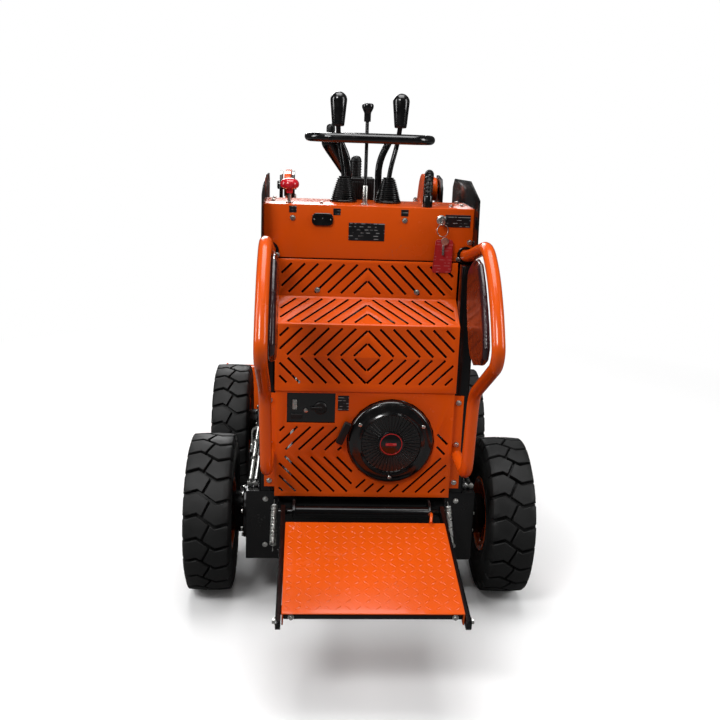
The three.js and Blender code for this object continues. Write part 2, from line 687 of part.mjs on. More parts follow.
// Side arms with their pivot eyes and spring lugs, joined by two cross bars under the step.
function platformFrame() {
  const { inner, outer } = PLATFORM_ARM;
  const arm = outline([
    [-186, 322], [-192, 336], [-205, 342], [-222, 338], [-330, 318], [-430, 306], [-690, 268], [REAR_END, 263],
    [REAR_END, 250], [-688, 243], [-440, 262], [-320, 262], [-296, 232], [-276, 232], [-262, 262], [-222, 300],
    [-205, 302], [-192, 308],
  ]);
  const arms = SIDES.map(([, side]) => sideways(arm, ...span(side, inner, outer)));
  const hooks = SIDES.map(([, side]) =>
    rodAlongX(4, ...span(side, outer - 1, outer + 8), SPRING_END.x, SPRING_END.y, 12));
  const holes = rodAlongX(10.5, -240, 240, FOLD_PIVOT.x, FOLD_PIVOT.y, 16);
  return cut(joined(
    ...arms, ...hooks,
    block(-inner - 1, inner + 1, -620, -596, 242, 254),
    block(-inner - 1, inner + 1, -356, -336, 272, 296)), holes);
}

place("platform_frame", platformFrame(), black(), [DECK.shift, 0, 0]);

// Flat bar bolted between the step's side flanges at its rear edge.
place("step_crossbar", block(-DECK.x + DECK.sheet + GAP, DECK.x - DECK.sheet - GAP, -675, -650, 262, 274.5),
  black(), [DECK.shift, 0, 0]);

// Each return spring as its outer cylinder between the two hooks.
for (const [name, side] of SIDES) {
  const reach = SPRING_TOP.distanceTo(SPRING_END);
  const coil = new THREE.CylinderGeometry(9.5, 9.5, reach - 26, 16).rotateX(Math.PI / 2);
  const middle = SPRING_TOP.clone().lerp(SPRING_END, 0.5);
  const spring = place(`spring_${name}`, coil, zinc(), [side * SPRING_X, middle.x, middle.y]);
  spring.rotation.x = leanOf(SPRING_TOP, SPRING_END);
}

// ---------- grab bars and hip pads ----------

for (const [name, side] of SIDES) {
  const route = GRAB_ROUTE.map(([y, z]) => [side * (z < 500 ? GRAB_X - 8 : GRAB_X - 2), y, z]);
  place(`grab_bar_${name}`, bar(route, GRAB_RADIUS, 46, 44, 10), orange());
}

const padOutline = () => outline([
  [-296, 1020], [-330, 1052], [-384, 1074], [-440, 1068], [-486, 1032], [-530, 985], [-562, 940], [-586, 892],
  [-578, 862], [-540, 838], [-440, 812], [-396, 828], [-352, 872], [-306, 950],
]);

for (const [name, side] of SIDES) {
  const inner = GRAB_X - 2 - GRAB_RADIUS - GAP;
  place(`hip_pad_${name}`, sideways(padOutline(), ...span(side, inner - 12, inner)), vinyl());
}

// ---------- controls ----------

const CONSOLE_TOP = CONSOLE.top + GAP;

// Travel lever: a ribbed boot, a bent stalk and a tapered grip.
function travelLever(reach) {
  const boot = turned([[0, 0], [38, 0], [38, 6], [33, 12], [17, 70], [0, 70]], 20);
  const stalk = bar([[0, 6, 58], [reach * 0.2, 12, 95], [reach * 0.85, 30, 165], [reach, 14, 215]], 7, 30, 14, 8);
  const knob = turned([[0, 0], [17, 0], [19, 8], [23.5, 70], [20, 84], [10, 92], [0, 93]], 20)
    .rotateX(THREE.MathUtils.degToRad(-6)).translate(reach, 12, 206);
  return joined(boot, stalk, knob);
}

place("travel_lever_left", travelLever(-20.5), plastic(), [-67.5, 42, CONSOLE_TOP]);
place("travel_lever_right", travelLever(28.5), plastic(), [57.5, 42, CONSOLE_TOP]);

// Thin centre lever for the auxiliary circuit.
function auxLever() {
  const stem = bar([[0, 0, 0], [0, 0, 20], [2, 46, 225]], 5, 20, 10, 8);
  const ferrule = turned([[0, 0], [7.5, 0], [7.5, 52], [0, 52]], 16);
  const knob = turned([[0, 0], [9, 0], [9.5, 22], [16, 38], [16, 44], [13, 48], [0, 49]], 16).translate(2, 45, 220);
  return joined(stem, ferrule, knob);
}

place("auxiliary_lever", auxLever(), plastic(), [-12.5, -45, CONSOLE_TOP]);

// Loader lever on the valve behind the console box, leaning to the left.
function loaderLever() {
  const stem = bar([[0, 0, 0], [0, 0, 30], [-32, 0, 155]], 8, 30, 10, 8);
  const grip = turned([[0, 0], [10, 0], [27, 98], [26, 112], [14, 122], [0, 124]], 18)
    .rotateY(THREE.MathUtils.degToRad(-27)).translate(-25, 0, 138);
  const rocker = turned([[0, 0], [13, 0], [13, 24], [7, 31], [0, 32]], 14).translate(-72, 0, 248);
  return joined(stem, grip, rocker);
}

place("loader_lever", loaderLever(), plastic(), [-34, 144, TANK_TOP + GAP]);

// Horizontal hand loop on two bent supports.
function handLoop() {
  const z = 176;
  const rear = bar([[0, -56, z], [126, -52, z], [168, -16, z], [168, 44, z], [126, 80, z], [0, 84, z]], 12.5, 40, 18, 8);
  const front = rear.clone().scale(-1, 1, 1);
  const support = (foot, head) => bar([[foot, 78, 0], [foot, 79, 110], [head, 84, z]], 10, 40, 10, 8);
  return joined(closed(rear), closed(front), support(-54, -84), support(32, 62));
}

place("hand_loop", handLoop(), black(), [0, 14, CONSOLE_TOP]);

function stopKnob() {
  return turned([[0, 0], [6, 0], [6, 34], [20, 40], [26, 52], [20, 62], [0, 66]], 20);
}

place("stop_knob", stopKnob(), red(), [-218, -48, CONSOLE_TOP]);

// Spiral-wrapped hose that rises at the console's rear edge and arches forward into its top again.
const HOSE_ROUTE = [[158, 0, 0], [158, 0, 30], [161, 14, 86], [172, 104, 84], [178, 148, 40], [178, 148, 0]];
place("console_hose", bar(HOSE_ROUTE, 12, 30, 24, 8), rubber(), [0, -62, CONSOLE_TOP]);

export default machine;
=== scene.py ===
import math

import bpy
from mathutils import Matrix, Vector


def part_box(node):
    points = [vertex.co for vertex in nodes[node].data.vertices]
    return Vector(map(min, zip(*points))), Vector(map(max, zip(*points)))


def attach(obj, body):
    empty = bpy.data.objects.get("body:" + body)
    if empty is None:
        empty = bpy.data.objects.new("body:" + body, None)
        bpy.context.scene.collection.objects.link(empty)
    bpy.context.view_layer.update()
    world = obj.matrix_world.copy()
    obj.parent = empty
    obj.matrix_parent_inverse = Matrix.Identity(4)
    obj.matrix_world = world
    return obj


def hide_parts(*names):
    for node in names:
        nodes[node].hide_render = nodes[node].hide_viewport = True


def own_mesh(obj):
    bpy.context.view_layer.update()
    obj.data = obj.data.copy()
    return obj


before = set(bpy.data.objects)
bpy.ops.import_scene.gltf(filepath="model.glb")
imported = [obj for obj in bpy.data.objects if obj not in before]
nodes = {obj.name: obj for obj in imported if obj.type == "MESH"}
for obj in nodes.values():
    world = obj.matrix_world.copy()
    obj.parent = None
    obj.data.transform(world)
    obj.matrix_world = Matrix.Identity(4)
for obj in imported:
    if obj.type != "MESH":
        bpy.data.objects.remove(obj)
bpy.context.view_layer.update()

# Lengths are in metres. Stations run forward from the rear axle, which is found from the rear
# tyre, so that a place reads as it would on the machine.
tyre_low, tyre_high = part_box("tyre_rear_left")
REAR_AXLE = (tyre_low.y + tyre_high.y) / 2
WHEEL_RADIUS = (tyre_high.z - tyre_low.z) / 2
SIDES = (("left", -1), ("right", 1))
WHEELS = [(f"{end}_{side_name}", side) for end in ("rear", "front") for side_name, side in SIDES]


def place(x, station, height):
    return Vector((x, REAR_AXLE + station, height))


# ---------------------------------------------------------------- shader building
# Short ways to make shader nodes and to join them, for the floor here and for the finishes of the
# pieces further down.


def feed_socket(tree, socket, value):
    if isinstance(value, bpy.types.NodeSocket):
        tree.links.new(value, socket)
    else:
        socket.default_value = value


def feed(tree, node, **inputs):
    """Gives inputs a fixed value or another node's output. An underscore in a name is a space."""
    for label, value in inputs.items():
        feed_socket(tree, node.inputs[label.replace("_", " ")], value)
    return node


def add_node(tree, kind, **inputs):
    return feed(tree, tree.nodes.new("ShaderNode" + kind), **inputs)


def object_place(tree):
    return add_node(tree, "TexCoord").outputs["Object"]


def noise(tree, coordinates, scale, detail=3.0, roughness=0.55):
    texture = add_node(tree, "TexNoise", Vector=coordinates, Scale=scale, Detail=detail,
                       Roughness=roughness)
    return texture.outputs["Fac"]


def remap(tree, value, low, high, to_low=0.0, to_high=1.0):
    ranger = add_node(tree, "MapRange", Value=value, From_Min=low, From_Max=high, To_Min=to_low,
                      To_Max=to_high)
    return ranger.outputs["Result"]


def blend_colours(tree, factor, first, second):
    mixer = add_node(tree, "Mix")
    mixer.data_type = "RGBA"
    for index, value in ((0, factor), (6, first), (7, second)):
        feed_socket(tree, mixer.inputs[index], value)
    return mixer.outputs[2]


def combine(tree, operation, first, second):
    node = add_node(tree, "Math")
    node.operation = operation
    feed_socket(tree, node.inputs[0], first)
    feed_socket(tree, node.inputs[1], second)
    return node.outputs[0]


def times(tree, first, second):
    return combine(tree, "MULTIPLY", first, second)


def mix_shaders(tree, factor, first, second):
    mixer = add_node(tree, "MixShader")
    for socket, value in zip(mixer.inputs, (factor, first, second)):
        feed_socket(tree, socket, value)
    return mixer.outputs[0]


def new_material(name, specular=0.5, coat=0.0):
    finish = bpy.data.materials.new(name)
    finish.use_nodes = True
    tree = finish.node_tree
    shader = tree.nodes["Principled BSDF"]
    feed(tree, shader, Specular_IOR_Level=specular, Coat_Weight=coat, Coat_Roughness=0.06)
    return finish, tree, shader


def add_bump(tree, height, shader, strength, distance):
    bump = add_node(tree, "Bump", Height=height, Strength=strength, Distance=distance)
    feed(tree, shader, Normal=bump.outputs["Normal"])


def new_group(name, inputs, outputs):
    """An empty shader node group with its sockets, and its two end nodes."""
    group = bpy.data.node_groups.new(name, "ShaderNodeTree")
    for label, kind, value in inputs:
        socket = group.interface.new_socket(label, in_out="INPUT", socket_type="NodeSocket" + kind)
        socket.default_value = value
    for label, kind in outputs:
        group.interface.new_socket(label, in_out="OUTPUT", socket_type="NodeSocket" + kind)
    return group, group.nodes.new("NodeGroupInput"), group.nodes.new("NodeGroupOutput")


def add_group(tree, group, **inputs):
    node = add_node(tree, "Group")
    node.node_tree = group
    return feed(tree, node, **inputs)


# ---------------------------------------------------------------- camera, lights and floor
# A standing person's view from just left of the machine's middle, looking down at the controls,
# in plain soft studio light on a pale floor.
EYE = place(-0.1728, -2.6033, 1.3923)
YAW, PITCH, ROLL = 0.0635, 0.2563, 0.0359
LENS = 46.38

forward = Vector((math.sin(YAW) * math.cos(PITCH), math.cos(YAW) * math.cos(PITCH), -math.sin(PITCH)))
level = Vector((math.cos(YAW), -math.sin(YAW), 0))
upright = level.cross(forward)
across = math.cos(ROLL) * level + math.sin(ROLL) * upright
upward = -math.sin(ROLL) * level + math.cos(ROLL) * upright

lens_data = bpy.data.cameras.new("operator_view")
lens_data.lens = LENS
lens_data.sensor_width = 36
camera = bpy.data.objects.new("operator_view", lens_data)
camera.matrix_world = Matrix(((*across, 0), (*upward, 0), (*-forward, 0), (0, 0, 0, 1))).transposed()
camera.matrix_world.translation = EYE
bpy.context.scene.collection.objects.link(camera)
bpy.context.scene.camera = camera


def softbox(name, location, target, size, power):
    bpy.ops.object.light_add(type="AREA", location=location)
    lamp = bpy.context.object
    lamp.name = name
    lamp.data.shape = "RECTANGLE"
    lamp.data.size, lamp.data.size_y = size
    lamp.data.energy = power
    lamp.rotation_euler = (Vector(target) - Vector(location)).to_track_quat("-Z", "Y").to_euler()


softbox("key_light", (-1.6, -3.2, 3.4), (0, -0.5, 0.6), (1.2, 0.8), 68)
softbox("side_light", (3.2, -1.6, 2.4), (0, -0.3, 0.6), (0.8, 1.8), 40)
softbox("left_light", (-3.2, -0.8, 2.2), (0, -0.2, 0.5), (0.8, 1.8), 34)
softbox("top_light", (0, -0.4, 4.2), (0, -0.2, 0.4), (2.6, 2.6), 108)
softbox("front_light", (-0.8, 4.2, 2.8), (0, 0.6, 0.5), (2.0, 1.4), 80)


def make_room():
    """A white surround for the eye, and a dimmer one for the light and the reflections that it gives."""
    room = bpy.data.worlds.new("pale_room")
    room.use_nodes = True
    tree = room.node_tree
    paths = add_node(tree, "LightPath").outputs
    seen = feed(tree, tree.nodes["Background"], Color=(1, 1, 1, 1), Strength=1.0).outputs[0]
    given = add_node(tree, "Background", Strength=0.42).outputs[0]
    mirrored = add_node(tree, "Background", Strength=0.07).outputs[0]
    unseen = mix_shaders(tree, paths["Is Glossy Ray"], given, mirrored)
    whole = mix_shaders(tree, paths["Is Camera Ray"], unseen, seen)
    feed(tree, tree.nodes["World Output"], Surface=whole)
    bpy.context.scene.world = room


make_room()
bpy.context.scene.view_settings.view_transform = "Standard"

bpy.ops.mesh.primitive_plane_add(size=60, location=(0, 0, 0))
floor = bpy.context.object
floor.name = "studio_floor"
FADE_START, FADE_END = 1.5, 3.2


def make_floor():
    """Pale matt paper that fades to the white of the room, and gives back less light than it shows."""
    paper, tree, shader = new_material("pale_floor", specular=0.0)
    paths = add_node(tree, "LightPath").outputs
    tone = blend_colours(tree, paths["Is Camera Ray"], (0.17, 0.17, 0.17, 1), (0.96, 0.96, 0.96, 1))
    feed(tree, shader, Roughness=0.9, Base_Color=tone)
    reach = add_node(tree, "VectorMath")
    reach.operation = "LENGTH"
    feed_socket(tree, reach.inputs[0], object_place(tree))
    fade = remap(tree, reach.outputs["Value"], FADE_START, FADE_END)
    shown = times(tree, fade, paths["Is Camera Ray"])
    white = add_node(tree, "Emission").outputs[0]
    feed(tree, tree.nodes["Material Output"], Surface=mix_shaders(tree, shown, shader.outputs[0], white))
    return paper


floor.data.materials.append(make_floor())

# ---------------------------------------------------------------- black steel body
# The chassis tub, the uprights behind the guards, the side plates and the arm posts: folded and
# welded plate, powder coated black. The coating rounds every cut edge.


def make_powder_coat():
    """Colour drift, smudges, sparse chips to bare metal, dust low down and the coating's fine ripple."""
    group, start, end = new_group(
        "powder_coat",
        (("Colour", "Color", (1, 1, 1, 1)), ("Chip Amount", "Float", 0.5), ("Dust Amount", "Float", 0.3)),
        (("Colour", "Color"), ("Roughness", "Float"), ("Metallic", "Float"), ("Height", "Float")))
    where = object_place(group)
    drift = remap(group, noise(group, where, 3.1, 2), 0.3, 0.7, 0.9, 1.06)
    tint = add_node(group, "HueSaturation", Color=start.outputs["Colour"], Value=drift).outputs["Color"]
    smudge = remap(group, noise(group, where, 11, 4, 0.65), 0.45, 0.75)
    grit = times(group, noise(group, where, 130, 2, 0.7), noise(group, where, 9, 2))
    chips = times(group, remap(group, grit, 0.415, 0.43), start.outputs["Chip Amount"])
    height = add_node(group, "SeparateXYZ", Vector=where).outputs["Z"]
    drifts = remap(group, noise(group, where, 23, 5, 0.7), 0.42, 0.8, 0.0, 0.9)
    dust = times(group, remap(group, height, 0.05, 0.55, 1.0, 0.08), drifts)
    dust = times(group, dust, start.outputs["Dust Amount"])
    dusted = blend_colours(group, dust, tint, (0.2, 0.17, 0.14, 1))
    shine = combine(group, "ADD", times(group, smudge, 0.1), times(group, dust, 0.5))
    ripple = times(group, noise(group, where, 520, 1), 0.35)
    feed(group, end, Colour=blend_colours(group, chips, dusted, (0.16, 0.15, 0.15, 1)),
         Roughness=combine(group, "ADD", shine, 0.2), Metallic=times(group, chips, 0.6),
         Height=combine(group, "SUBTRACT", ripple, chips))
    return group


powder_coat = make_powder_coat()


def coated_steel(name, colour, chip_amount, dust_amount, coat=0.25, specular=0.3):
    finish, tree, shader = new_material(name, specular=specular, coat=coat)
    surface = add_group(tree, powder_coat, Colour=(*colour, 1), Chip_Amount=chip_amount,
                        Dust_Amount=dust_amount).outputs
    feed(tree, shader, Base_Color=surface["Colour"], Roughness=surface["Roughness"],
         Metallic=surface["Metallic"])
    add_bump(tree, surface["Height"], shader, 0.16, 0.0005)
    return finish


black_coat = coated_steel("black_powder_coat", (0.0024, 0.0024, 0.0028), 0.14, 0.035, coat=0.15)


def only(piece):
    bpy.ops.object.select_all(action="DESELECT")
    piece.select_set(True)
    bpy.context.view_layer.objects.active = piece


def edit_all(piece):
    """Goes into edit mode on one piece, with all of it selected."""
    only(piece)
    bpy.ops.object.mode_set(mode="EDIT")
    bpy.ops.mesh.select_all(action="SELECT")


def extrude(x, y, z):
    bpy.ops.mesh.extrude_region_move(TRANSFORM_OT_translate={"value": (x, y, z)})


def close_outward():
    """Turns the whole mesh outward and leaves edit mode."""
    bpy.ops.mesh.select_all(action="SELECT")
    bpy.ops.mesh.normals_make_consistent(inside=False)
    bpy.ops.object.mode_set(mode="OBJECT")


def apply_modifiers(piece):
    only(piece)
    for modifier in list(piece.modifiers):
        bpy.ops.object.modifier_apply(modifier=modifier.name)


def ease_edges(piece, width, segments=2, angle=32):
    bevel = piece.modifiers.new("eased_edges", "BEVEL")
    bevel.width = width
    bevel.segments = segments
    bevel.limit_method = "ANGLE"
    bevel.angle_limit = math.radians(angle)
    apply_modifiers(piece)
    bpy.ops.object.shade_smooth_by_angle(angle=math.radians(angle))
    return piece


def set_place(piece):
    only(piece)
    bpy.ops.object.transform_apply(location=True, rotation=True, scale=True)
    return piece


def settle(piece, name, finish, body, slot, *replaced):
    """Names a finished piece, gives it its finish and puts it on its body."""
    set_place(piece)
    piece.name = name
    piece.data.name = name
    piece.data.materials.clear()
    piece.data.materials.append(finish)
    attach(piece, body)
    if replaced:
        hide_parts(*replaced)
    return piece


def merged_copy(node):
    piece = bpy.data.objects.new(node + "_copy", nodes[node].data.copy())
    bpy.context.scene.collection.objects.link(piece)
    edit_all(piece)
    bpy.ops.mesh.remove_doubles(threshold=1e-5)
    bpy.ops.mesh.dissolve_limited(angle_limit=math.radians(0.4))
    bpy.ops.object.mode_set(mode="OBJECT")
    return piece


def ease_node(node, name, width, finish, body, slot, segments=2):
    """A part whose own form is right, with the small radius that its real edges have."""
    return settle(ease_edges(merged_copy(node), width, segments), name, finish, body, slot, node)


for node, name, width in (
        ("chassis_frame", "chassis_tub", 0.0022), ("body_frame", "body_uprights", 0.0012),
        ("side_plate_left", "side_panel_left", 0.0008), ("arm_post_left", "post_left", 0.0015),
        ("side_plate_right", "side_panel_right", 0.0008), ("arm_post_right", "post_right", 0.0015)):
    ease_node(node, name, width, black_coat, "machine", "black_paint")

# ---------------------------------------------------------------- orange sheet metal
# Rear guards, console and hood in folded 3 mm sheet, powder coated a bright orange. The guards
# are laser cut with slanting slots and bolted to the black uprights.
orange_coat = coated_steel("orange_powder_coat", (0.66, 0.078, 0.003), 0.08, 0.04, coat=0.05, specular=0.2)

ease_node("upper_rear_guard", "upper_guard_sheet", 0.0006, orange_coat, "machine", "orange_paint")
ease_node("lower_rear_panel", "lower_panel_sheet", 0.0006, orange_coat, "machine", "orange_paint")
ease_node("console_box", "console_sheet", 0.0018, orange_coat, "machine", "orange_paint", 3)
ease_node("front_hood", "hood_sheet", 0.004, orange_coat, "machine", "orange_paint", 3)

# ---------------------------------------------------------------- bolts on the sheet metal
# Zinc plated hexagon bolts with washers: on the guards, the panel's flanges, the console, the
# chassis ends and the posts. One bolt is modelled and copied.


def make_zinc():
    finish, tree, shader = new_material("zinc_plate")
    spangle = noise(tree, object_place(tree), 90, 3, 0.6)
    tone = blend_colours(tree, spangle, (0.42, 0.42, 0.4, 1), (0.78, 0.78, 0.75, 1))
    feed(tree, shader, Metallic=1.0, Base_Color=tone, Roughness=remap(tree, spangle, 0.3, 0.7, 0.2, 0.4))
    return finish


zinc = make_zinc()


def turned(profile, sides, centre=(0, 0, 0), axis="Z"):
    """A round part drawn out from one ring. Each step of the profile is a station and a radius."""
    smallest = 1e-4
    station, radius = profile[0][0], max(profile[0][1], smallest)
    bpy.ops.mesh.primitive_circle_add(vertices=sides, radius=radius, location=(0, 0, 0))
    piece = bpy.context.object
    edit_all(piece)
    bpy.ops.transform.translate(value=(0, 0, station))
    for next_station, next_radius in profile[1:]:
        next_radius = max(next_radius, smallest)
        extrude(0, 0, next_station - station)
        grow = next_radius / radius
        bpy.ops.transform.resize(value=(grow, grow, 1), center_override=(0, 0, 0))
        station, radius = next_station, next_radius
    bpy.ops.mesh.select_all(action="SELECT")
    bpy.ops.mesh.remove_doubles(threshold=2.5e-4)
    close_outward()
    piece.rotation_euler = {"X": (0, math.pi / 2, 0), "Y": (-math.pi / 2, 0, 0), "Z": (0, 0, 0)}[axis]
    piece.location = centre
    set_place(piece)
    bpy.ops.object.shade_smooth_by_angle(angle=math.radians(38))
    return piece


def joined(pieces):
    only(pieces[0])
    for piece in pieces[1:]:
        piece.select_set(True)
    if len(pieces) > 1:
        bpy.ops.object.join()
    return pieces[0]


def bright(pieces, name, body="machine"):
    """Settles small zinc plated parts as one piece."""
    return settle(joined(pieces), name, zinc, body, "bright_steel")


def copied(piece):
    twin = piece.copy()
    twin.data = piece.data.copy()
    bpy.context.scene.collection.objects.link(twin)
    return twin


def moved(piece, offset):
    piece.location = offset
    return set_place(piece)


def aimed(piece, direction, location):
    """Turns a piece that stands on +Z to another direction and puts it in its place."""
    piece.rotation_euler = Vector(direction).to_track_quat("Z", "Y").to_euler()
    piece.location = location
    return set_place(piece)


def ring_of(model, count, radius, seat, first=0.0):
    """Copies of a bolt round the X axis, joined. The first one stands a share of a step from the top."""
    bolts = []
    for k in range(count):
        angle = 2 * math.pi * (k + first) / count
        bolts.append(aimed(copied(model), (1, 0, 0), (seat, radius * math.cos(angle),
                                                      radius * math.sin(angle))))
    return joined(bolts)


def stud(profile, sides, spot):
    """A round part that stands out of a rear-facing surface."""
    return aimed(turned(profile, sides), BACKWARD, spot)


def hex_bolt(radius, head):
    """A hexagon head on its washer, standing on +Z."""
    seat = head * 0.3
    hexagon = turned([(seat, 0), (seat, radius), (head + seat, radius), (head + seat, 0)], 6)
    ease_edges(hexagon, radius * 0.12, 1)
    washer = turned([(0, 0), (0, radius * 1.35), (seat, radius * 1.3), (seat, 0)], 18)
    return joined([hexagon, washer])


small_bolt = hex_bolt(0.0058, 0.0045)
BACKWARD = (0, -1, 0)
GUARD_STATION = -0.0884
PANEL_STATION = -0.1818
CONSOLE_REAR = -0.0804
CHASSIS_REAR = -0.1607
FLANGE_STATION = -0.164


def bolt_group(name, spots, body="machine"):
    bolts = [aimed(copied(small_bolt), direction, spot) for spot, direction in spots]
    return bright(bolts, name, body)


bolt_group("guard_bolts", [(place(x, GUARD_STATION, 0.929), BACKWARD) for x in (-0.137, 0.137)])
bolt_group("panel_bolts", [(place(x, FLANGE_STATION, z), BACKWARD)
                           for x in (-0.261, 0.261) for z in (0.634, 0.512, 0.398)])
bolt_group("console_bolts", [(place(x, CONSOLE_REAR, z), BACKWARD)
                             for x, z in ((-0.208, 1.123), (0.096, 1.124), (0.277, 1.069),
                                          (-0.249, 1.022), (0.249, 1.022))])
bolt_group("console_top_bolts", [(place(x, y, 1.1595), (0, 0, 1))
                                 for x, y in ((-0.262, 0.0), (0.262, 0.0), (0.262, 0.085), (-0.262, 0.085),
                                              (0.228, -0.03), (-0.13, -0.04))])
bolt_group("chassis_bolts", [(place(x, CHASSIS_REAR, z), BACKWARD)
                             for x in (-0.271, 0.271) for z in (0.34, 0.2)])

# ---------------------------------------------------------------- lift arms, coupler and bucket
# Arms cut from thick plate and joined by a cross tube. The bucket is welded from 6 mm plate round
# a bent heel, with a bolted cutting edge of bare wear steel.
for side_name, side in SIDES:
    ease_node(f"lift_arm_{side_name}", f"arm_{side_name}", 0.0022, orange_coat, "lift_arms", "orange_paint")
ease_node("arm_cross_tube", "cross_tube", 0.0015, orange_coat, "lift_arms", "orange_paint")
ease_node("coupler_plate", "coupler", 0.0015, black_coat, "attachment", "black_paint")
ease_node("bucket", "bucket_shell", 0.0015, orange_coat, "attachment", "orange_paint")


def make_worn_steel():
    """Bare plate scoured bright along its length, with brown stain in the hollows."""
    finish, tree, shader = new_material("worn_steel")
    mapping = add_node(tree, "Mapping", Vector=object_place(tree), Scale=(4, 60, 60))
    scratches = noise(tree, mapping.outputs[0], 6, 4, 0.7)
    stain = remap(tree, noise(tree, object_place(tree), 12, 4, 0.65), 0.45, 0.7)
    steel = blend_colours(tree, scratches, (0.16, 0.155, 0.15, 1), (0.42, 0.41, 0.4, 1))
    feed(tree, shader, Base_Color=blend_colours(tree, stain, steel, (0.12, 0.065, 0.035, 1)),
         Metallic=remap(tree, stain, 0, 1, 0.95, 0.25), Roughness=remap(tree, stain, 0, 1, 0.32, 0.75))
    add_bump(tree, scratches, shader, 0.3, 0.0008)
    return finish


worn_steel = make_worn_steel()
ease_node("cutting_edge", "wear_edge", 0.0012, worn_steel, "attachment", "worn_steel")

edge_low, edge_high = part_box("cutting_edge")
plough_bolt = turned([(0, 0), (0, 0.012), (0.0025, 0.012), (0.0055, 0.0085), (0.0065, 0.0)], 20)
edge_bolts = []
for k in range(7):
    x = edge_low.x + 0.07 + k * (edge_high.x - edge_low.x - 0.14) / 6
    edge_bolts.append(moved(copied(plough_bolt), (x, edge_low.y + 0.035, edge_high.z)))
settle(joined(edge_bolts), "edge_bolts", worn_steel, "attachment", "worn_steel")
bpy.data.objects.remove(plough_bolt)

# ---------------------------------------------------------------- tyres
# Pneumatic industrial tyres in black rubber: a moulded carcass with raised rings on the side
# walls, and two rows of lugs round the tread, which the cross grooves part in a slanted zigzag.
TREAD_DEPTH = 0.015
LUGS = 22
LUG_GAP = 0.0106
MIDDLE_GAP = 0.0056
MIDDLE_LEAN = 0.01
TREAD_EDGE, BEND_AT, SHOULDER = 0.06, 0.026, 0.0664
EDGE_LIFT, BEND_LIFT = 0.0085, 0.018
lug_pitch = 2 * math.pi / LUGS
carcass_radius = WHEEL_RADIUS - TREAD_DEPTH


def groove_lift(x):
    """How far the cross groove runs up the tread at a place on its left half."""
    if x < -BEND_AT:
        return EDGE_LIFT + (BEND_LIFT - EDGE_LIFT) * (x + TREAD_EDGE) / (TREAD_EDGE - BEND_AT)
    return -BEND_LIFT * x / BEND_AT


def tread_lug(side):
    """One lug: a grid bent to the cross grooves above and below it, then thickened."""
    bpy.ops.mesh.primitive_grid_add(x_subdivisions=5, y_subdivisions=4, size=2)
    lug = bpy.context.object
    half_turn = (lug_pitch - LUG_GAP / WHEEL_RADIUS) / 2
    for vertex in lug.data.vertices:
        column, v = round((vertex.co.x + 1) * 2.5), vertex.co.y
        inner = MIDDLE_LEAN * v - MIDDLE_GAP / 2
        x = (-TREAD_EDGE, -TREAD_EDGE, (-TREAD_EDGE - BEND_AT) / 2, -BEND_AT, (inner - BEND_AT) / 2,
             inner)[column]
        angle = v * half_turn + groove_lift(x) / WHEEL_RADIUS
        radius = WHEEL_RADIUS - 0.0028 * (x / TREAD_EDGE) ** 2
        if column == 0:
            x, radius = -SHOULDER, WHEEL_RADIUS - 0.023
        vertex.co = (x, radius * math.sin(angle), radius * math.cos(angle))
    if side > 0:
        lug.rotation_euler = (0, 0, math.pi)
        set_place(lug)
    middle = lug.data.polygons[len(lug.data.polygons) // 2]
    if middle.normal.dot(Vector((0, *middle.center.yz))) < 0:
        lug.data.flip_normals()
    wall = lug.modifiers.new("lug_depth", "SOLIDIFY")
    wall.thickness = TREAD_DEPTH + 0.002
    wall.offset = -1
    apply_modifiers(lug)
    return ease_edges(lug, 0.0014, 1, 40)


def make_tyre():
    half = [(0.05, 0.1035), (0.057, 0.1075), (0.058, 0.116), (0.0625, 0.124), (0.0632, 0.13),
            (0.0622, 0.136), (0.0655, 0.146), (0.0668, 0.158), (0.0668, 0.172), (0.0676, 0.178),
            (0.0668, 0.184), (0.0655, 0.197), (0.065, 0.206), (0.06, carcass_radius - 0.001),
            (0.03, carcass_radius)]
    profile = [(-x, r) for x, r in half] + [(x, r) for x, r in reversed(half)]
    carcass = turned([*profile, (-0.05, 0.1035)], 88, axis="X")
    lugs = []
    for side in (-1, 1):
        model = tread_lug(side)
        for k in range(LUGS):
            lug = copied(model)
            lug.rotation_euler = (k * lug_pitch, 0, 0)
            lugs.append(set_place(lug))
        bpy.data.objects.remove(model)
    return joined([carcass, *lugs])


def make_moulded_surface():
    """The two tones, the uneven polish and the fine grain of moulded rubber and plastic."""
    group, start, end = new_group(
        "moulded_surface",
        (("Dark", "Color", (0, 0, 0, 1)), ("Light", "Color", (0, 0, 0, 1)), ("Low Polish", "Float", 0.5),
         ("High Polish", "Float", 0.7), ("Patch Scale", "Float", 14), ("Patch Roughness", "Float", 0.6),
         ("Patch Start", "Float", 0.35), ("Grain Scale", "Float", 260), ("Grain Detail", "Float", 3),
         ("Grain Roughness", "Float", 0.7)),
        (("Colour", "Color"), ("Roughness", "Float"), ("Height", "Float")))
    where, given = object_place(group), start.outputs
    cloud = noise(group, where, given["Patch Scale"], 4, given["Patch Roughness"])
    grain = noise(group, where, given["Grain Scale"], given["Grain Detail"], given["Grain Roughness"])
    patches = remap(group, cloud, given["Patch Start"], 0.75)
    feed(group, end, Colour=blend_colours(group, patches, given["Dark"], given["Light"]),
         Roughness=remap(group, patches, 0, 1, given["Low Polish"], given["High Polish"]), Height=grain)
    return group


moulded_surface = make_moulded_surface()


